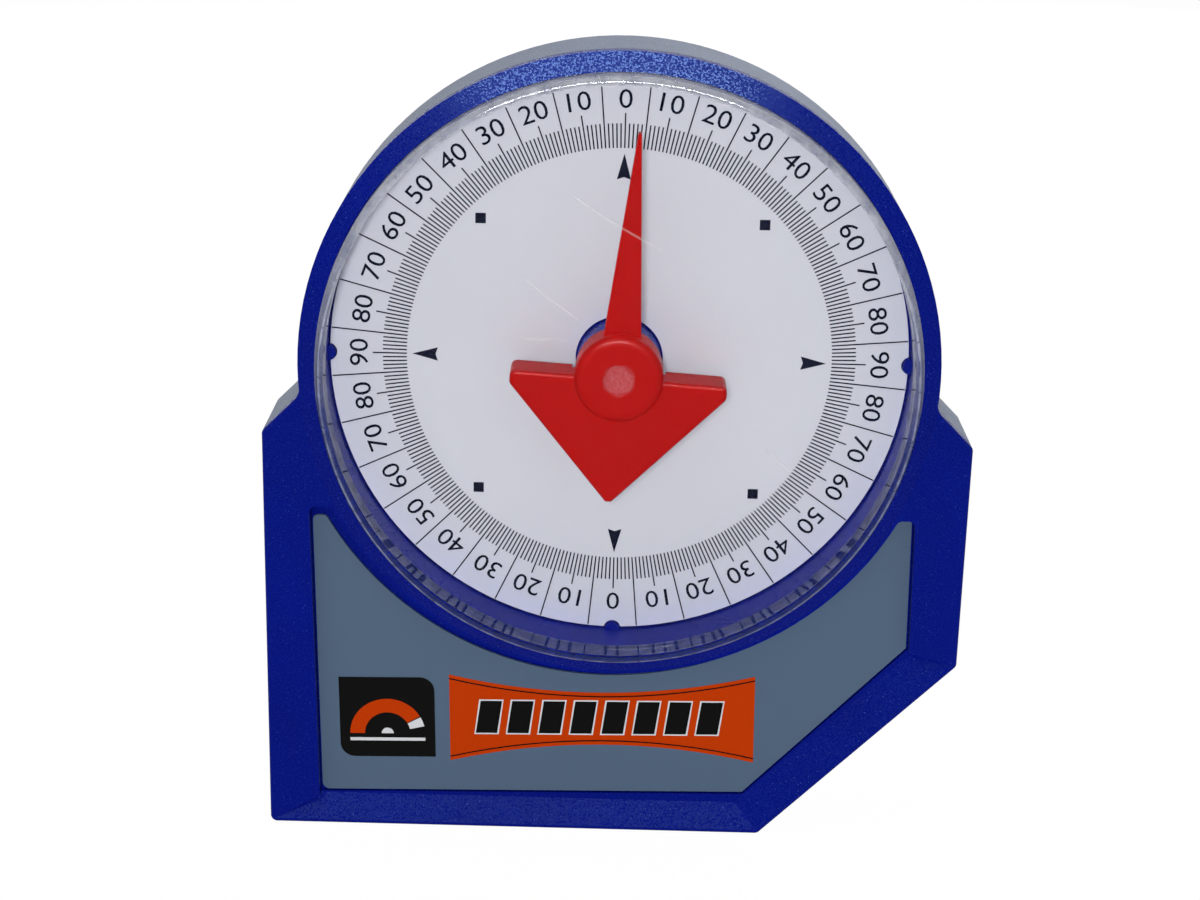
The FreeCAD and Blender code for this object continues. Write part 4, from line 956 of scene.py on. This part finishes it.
@dataclass
class LabelPrint:
    """Printed patches on the label: a dark square with an arc and an orange banner with bars."""

    tilt: float = math.radians(1.1)
    square_low: Point = (-40.4, -60.4)
    square_high: Point = (-26.2, -47.5)
    banner_low: Point = (-24.0, -60.95)
    banner_high: Point = (21.3, -47.0)
    banner_sag: float = 2.75
    banner_steps: int = 16
    corner: float = 2.2
    corner_steps: int = 8
    print_height: float = 0.02 * MM
    pivot: float = -45.0
    rule_inset: float = 0.55
    rule_width: float = 0.2
    bars: int = 8
    bars_low: Point = (-20.9, -56.4)
    bars_high: Point = (16.6, -51.2)
    bar_gap: float = 0.75
    bar_slant: float = 0.8
    bar_edge: float = 0.22
    arc_centre: Point = (-33.3, -56.6)
    arc_inner: float = 3.4
    arc_outer: float = 5.6
    arc_span: Range = (30.0, 180.0)
    arc_end_span: Range = (12.0, 28.0)
    arc_steps: int = 20
    dot_radius: float = 0.9
    dot_span: Range = (0.0, 180.0)
    line_low: Point = (-38.9, -57.8)
    line_high: Point = (-27.7, -57.3)

    def place(self, points: Sequence[Point]) -> list[Point]:
        """Turn points given in millimetres from the axis with the label.

        Args:
            points: Points before the turn.

        Returns:
            Points in metres in the CAD frame.
        """
        cosine, sine = math.cos(self.tilt), math.sin(self.tilt)
        turned = []
        for x, z in points:
            up = z - self.pivot
            turned.append(((x * cosine - up * sine) * MM,
                           AXIS_HEIGHT + (self.pivot + x * sine + up * cosine) * MM))
        return turned

    def patch(self, name: str, outlines: Sequence[Sequence[Point]], layer: int,
              ink: bpy.types.Material) -> None:
        """Add printed patches of one ink.

        Args:
            name: Name of the piece.
            outlines: Outlines in millimetres.
            layer: Which print lies on which, from 0.
            ink: The ink.
        """
        back = Plane.LABEL.depth - layer * self.print_height
        shapes = [extrude_outline(self.place(line), self.print_height, back) for line in outlines]
        adopt(mesh_object(name, joined(name, shapes), ink), HOUSING)

    def square(self) -> list[Point]:
        """Outline of the dark square, with two round corners."""
        (x0, z0), (x1, z1) = self.square_low, self.square_high
        points = [(x0, z1)]
        points += self.round_corner((x1 - self.corner, z1 - self.corner), 90, 0)
        points += [(x1, z0)]
        points += self.round_corner((x0 + self.corner, z0 + self.corner), 270, 180)
        return points

    def round_corner(self, centre: Point, first: float, last: float) -> list[Point]:
        """Points of a quarter round corner.

        Args:
            centre: Centre of the arc.
            first: First angle in degrees.
            last: Last angle in degrees.

        Returns:
            The points.
        """
        return self.arc_points(centre, self.corner, first, last, self.corner_steps)

    def banner(self, inset: float = 0.0) -> list[Point]:
        """Outline of the banner, hollow at the top and at the bottom.

        Args:
            inset: How far it is moved in at the top and bottom.

        Returns:
            The outline.
        """
        (x0, z0), (x1, z1) = self.banner_low, self.banner_high
        top, bottom = [], []
        for step in range(self.banner_steps + 1):
            share = step / self.banner_steps
            sag = self.banner_sag * 4 * share * (1 - share)
            top.append((x0 + (x1 - x0) * share, z1 - sag - inset))
            bottom.append((x1 + (x0 - x1) * share, z0 + sag + inset))
        return top + bottom

    def rule(self, upper: bool) -> list[Point]:
        """Thin line along an edge of the banner.

        Args:
            upper: True for the top edge.

        Returns:
            The outline.
        """
        near, far = self.banner(self.rule_inset), self.banner(self.rule_inset + self.rule_width)
        half = len(near) // 2
        if upper:
            return near[:half] + far[:half][::-1]
        return near[half:] + far[half:][::-1]

    def bar_outlines(self, swell: float) -> list[list[Point]]:
        """Row of slanted bars along the banner.

        Args:
            swell: How far each bar is widened all round.

        Returns:
            Their outlines.
        """
        left, low = self.bars_low
        right, high = self.bars_high
        low, high = low - swell, high + swell
        pitch = (right - left) / self.bars
        outlines = []
        for index in range(self.bars):
            x0 = left + index * pitch + self.bar_gap - swell
            x1 = left + (index + 1) * pitch - self.bar_gap + swell
            outlines.append([(x0, low), (x1, low), (x1 + self.bar_slant, high),
                             (x0 + self.bar_slant, high)])
        return outlines

    def arc_points(self, centre: Point, radius: float, first: float, last: float, steps: int
                   ) -> list[Point]:
        """Points along an arc.

        Args:
            centre: Centre of the arc.
            radius: Its radius.
            first: First angle in degrees.
            last: Last angle in degrees.
            steps: Number of its pieces.

        Returns:
            The points.
        """
        angles = [math.radians(first + (last - first) * step / steps) for step in range(steps + 1)]
        return [(centre[0] + radius * math.cos(a), centre[1] + radius * math.sin(a))
                for a in angles]

    def band(self, inner: float, outer: float, first: float, last: float) -> list[Point]:
        """Outline of a band along the arc in the square.

        Args:
            inner: Inner radius.
            outer: Outer radius.
            first: First angle in degrees.
            last: Last angle in degrees.

        Returns:
            The outline.
        """
        ring = self.arc_points(self.arc_centre, outer, first, last, self.arc_steps)
        back = self.arc_points(self.arc_centre, inner, first, last, self.arc_steps)
        return ring + back[::-1]

    def build(self) -> None:
        """Build all the print of the label."""
        black, orange, white = BLACK_INK.material(), ORANGE_INK.material(), WHITE_INK.material()
        dress("label_plate", LABEL_SHEET.material())
        self.patch("label_square", [self.square()], 0, black)
        self.patch("label_arc", [self.band(self.arc_inner, self.arc_outer, *self.arc_span)], 1,
                   orange)
        (x0, z0), (x1, z1) = self.line_low, self.line_high
        self.patch("label_arc_ends", [self.band(self.arc_inner, self.arc_outer, *self.arc_end_span),
                                      self.band(0.0, self.dot_radius, *self.dot_span),
                                      [(x0, z0), (x1, z0), (x1, z1), (x0, z1)]], 1, white)
        self.patch("label_banner", [self.banner()], 0, orange)
        self.patch("label_rules", [self.rule(True), self.rule(False)], 1, black)
        self.patch("label_bar_edges", self.bar_outlines(self.bar_edge), 1, white)
        self.patch("label_bars", self.bar_outlines(0.0), 2, black)


@dataclass
class CaseAndHardware:
    """Mouldings and metal pieces that keep their CAD shapes."""

    finishes: dict[str, Callable[[], bpy.types.Material]] = field(default_factory=lambda: {
        "front_case": BLUE_CASE.material,
        "rear_case": GREY_SHELL.material,
        "pointer": RED_POINTER.material,
        "pointer_weight": STEEL.material,
        "hub_bush": BRASS.material,
        "pivot_pin": STEEL.material,
        "thrust_washer": BRASS.material,
        "case_screws": STEEL.material,
        "base_keeper": STEEL.material,
        "bevel_keeper": STEEL.material,
    })

    def build(self) -> None:
        """Dress the nodes."""
        for node, make in self.finishes.items():
            dress(node, make())
        ferrite = FERRITE.material()
        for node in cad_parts:
            if "magnet" in node:
                dress(node, ferrite)


@dataclass(frozen=True)
class Lamp:
    """Soft lamp, or a card that shows only in gloss.

    Attributes:
        name: Its name.
        place: Where it hangs.
        size: Height of its face.
        power: Power in watts.
        wide: Width of its face over its height.
        diffuse: False for a card that lights nothing and shows in gloss.
        gloss: False for a lamp that leaves no highlight.
    """

    name: str
    place: tuple[float, float, float]
    size: float
    power: float
    wide: float = 1.0
    diffuse: bool = True
    gloss: bool = True


@dataclass
class Studio:
    """Pale floor, white surroundings, soft lamps and the camera of the photograph."""

    floor_half: float = 3.0
    floor_colour: Colour = (0.8, 0.8, 0.8)
    floor_glow: float = 1.02
    floor_share: float = 0.95
    world_light: float = 0.3
    aim_share: float = 0.8
    camera_place: tuple[float, float, float] = (-1.284 * MM, -314.357 * MM, 161.035 * MM)
    azimuth: float = math.radians(0.209)
    elevation: float = math.radians(18.107)
    roll: float = math.radians(1.387)
    lens: float = 68.5
    sensor: float = 36.0
    clip: Range = (0.01, 50.0)
    lamps: tuple[Lamp, ...] = (
        Lamp("lamp_key", (-0.05, -0.85, 0.32), 0.12, 4.6, gloss=False),
        Lamp("lamp_top", (-0.12, -0.12, 0.95), 0.45, 2.2),
        Lamp("lamp_back", (0.3, 0.9, 0.4), 0.5, 5.5, gloss=False),
        Lamp("lamp_sheen", (-0.04, -0.7, 0.72), 0.26, 38.0, wide=3.4, diffuse=False),
    )

    def floor_material(self) -> bpy.types.Material:
        """White for the camera and for reflections, with the object's shadow kept.

        Returns:
            The material.
        """
        nodes = Nodes("floor_white")
        path = nodes.add("LightPath").outputs
        shiny = nodes.math("MAXIMUM", path["Is Glossy Ray"], path["Is Transmission Ray"])
        seen = nodes.math("MAXIMUM", path["Is Camera Ray"], shiny)
        matt = nodes.add("BsdfDiffuse", {"Color": (*self.floor_colour, 1.0)}).outputs[0]
        glow = nodes.add("Emission", {"Strength": self.floor_glow}).outputs[0]
        share = nodes.math("MULTIPLY", seen, self.floor_share)
        return nodes.finish(nodes.add("MixShader", {0: share, 1: matt, 2: glow}).outputs[0])

    def build_floor(self) -> None:
        """Floor under the base."""
        half = self.floor_half
        shape = bmesh.new()
        corners = [shape.verts.new((x, y, 0.0)) for x, y in
                   ((-half, -half), (half, -half), (half, half), (-half, half))]
        shape.faces.new(corners)
        mesh = bpy.data.meshes.new("floor")
        shape.to_mesh(mesh)
        shape.free()
        mesh_object("floor", mesh, self.floor_material())

    def build_world(self) -> None:
        """White surroundings for the camera and reflections, and softer light for the rest."""
        world = bpy.data.worlds.new("studio")
        bpy.context.scene.world = world
        world.use_nodes = True
        tree = world.node_tree
        tree.nodes.clear()
        add = partial(add_node, tree)
        path = add("ShaderNodeLightPath").outputs
        shiny = add("ShaderNodeMath", {0: path["Is Glossy Ray"], 1: path["Is Transmission Ray"]},
                    operation="MAXIMUM").outputs[0]
        clear = add("ShaderNodeMath", {0: path["Is Camera Ray"], 1: shiny},
                    operation="MAXIMUM").outputs[0]
        strength = add("ShaderNodeMapRange", {"Value": clear, "To Min": self.world_light,
                                              "To Max": 1.0}).outputs[0]
        background = add("ShaderNodeBackground", {"Color": (1.0, 1.0, 1.0, 1.0),
                                                  "Strength": strength}).outputs[0]
        add("ShaderNodeOutputWorld", {"Surface": background})

    def build_lamp(self, lamp: Lamp) -> None:
        """Hang one lamp that faces the dial.

        Args:
            lamp: The lamp.
        """
        data = bpy.data.lights.new(lamp.name, "AREA")
        data.shape = "RECTANGLE"
        data.size = lamp.size * lamp.wide
        data.size_y = lamp.size
        data.energy = lamp.power
        hung = bpy.data.objects.new(lamp.name, data)
        hung.location = lamp.place
        hung.visible_diffuse = lamp.diffuse
        hung.visible_glossy = lamp.gloss
        aim = Vector((0.0, 0.0, AXIS_HEIGHT * self.aim_share)) - Vector(lamp.place)
        hung.rotation_euler = aim.to_track_quat("-Z", "Y").to_euler()
        bpy.context.scene.collection.objects.link(hung)

    def build_camera(self) -> None:
        """Camera at the photograph's place, with its small roll."""
        back = Vector((math.sin(self.azimuth) * math.cos(self.elevation),
                       -math.cos(self.azimuth) * math.cos(self.elevation),
                       math.sin(self.elevation)))
        right = (-back).cross(Vector((0.0, 0.0, 1.0))).normalized()
        up = right.cross(-back)
        level = math.cos(self.roll) * right + math.sin(self.roll) * up
        upright = -math.sin(self.roll) * right + math.cos(self.roll) * up
        data = bpy.data.cameras.new("camera")
        data.lens = self.lens
        data.sensor_width = self.sensor
        data.clip_start, data.clip_end = self.clip
        camera = bpy.data.objects.new("camera", data)
        turn = Matrix((level, upright, back)).transposed().to_4x4()
        camera.matrix_world = Matrix.Translation(self.camera_place) @ turn
        bpy.context.scene.collection.objects.link(camera)
        bpy.context.scene.camera = camera

    def build(self) -> None:
        """Build the studio."""
        self.build_floor()
        self.build_world()
        for lamp in self.lamps:
            self.build_lamp(lamp)
        self.build_camera()
        bpy.context.scene.view_settings.view_transform = "Standard"
        log.info("studio is ready")


def main() -> None:
    """Build the looks in order and report each piece."""
    logging.basicConfig(level=logging.INFO, format="%(message)s")
    CaseAndHardware().build()
    DialPrint().build()
    LabelPrint().build()
    Lens().build()
    Studio().build()


if __name__ == "__main__":
    main()
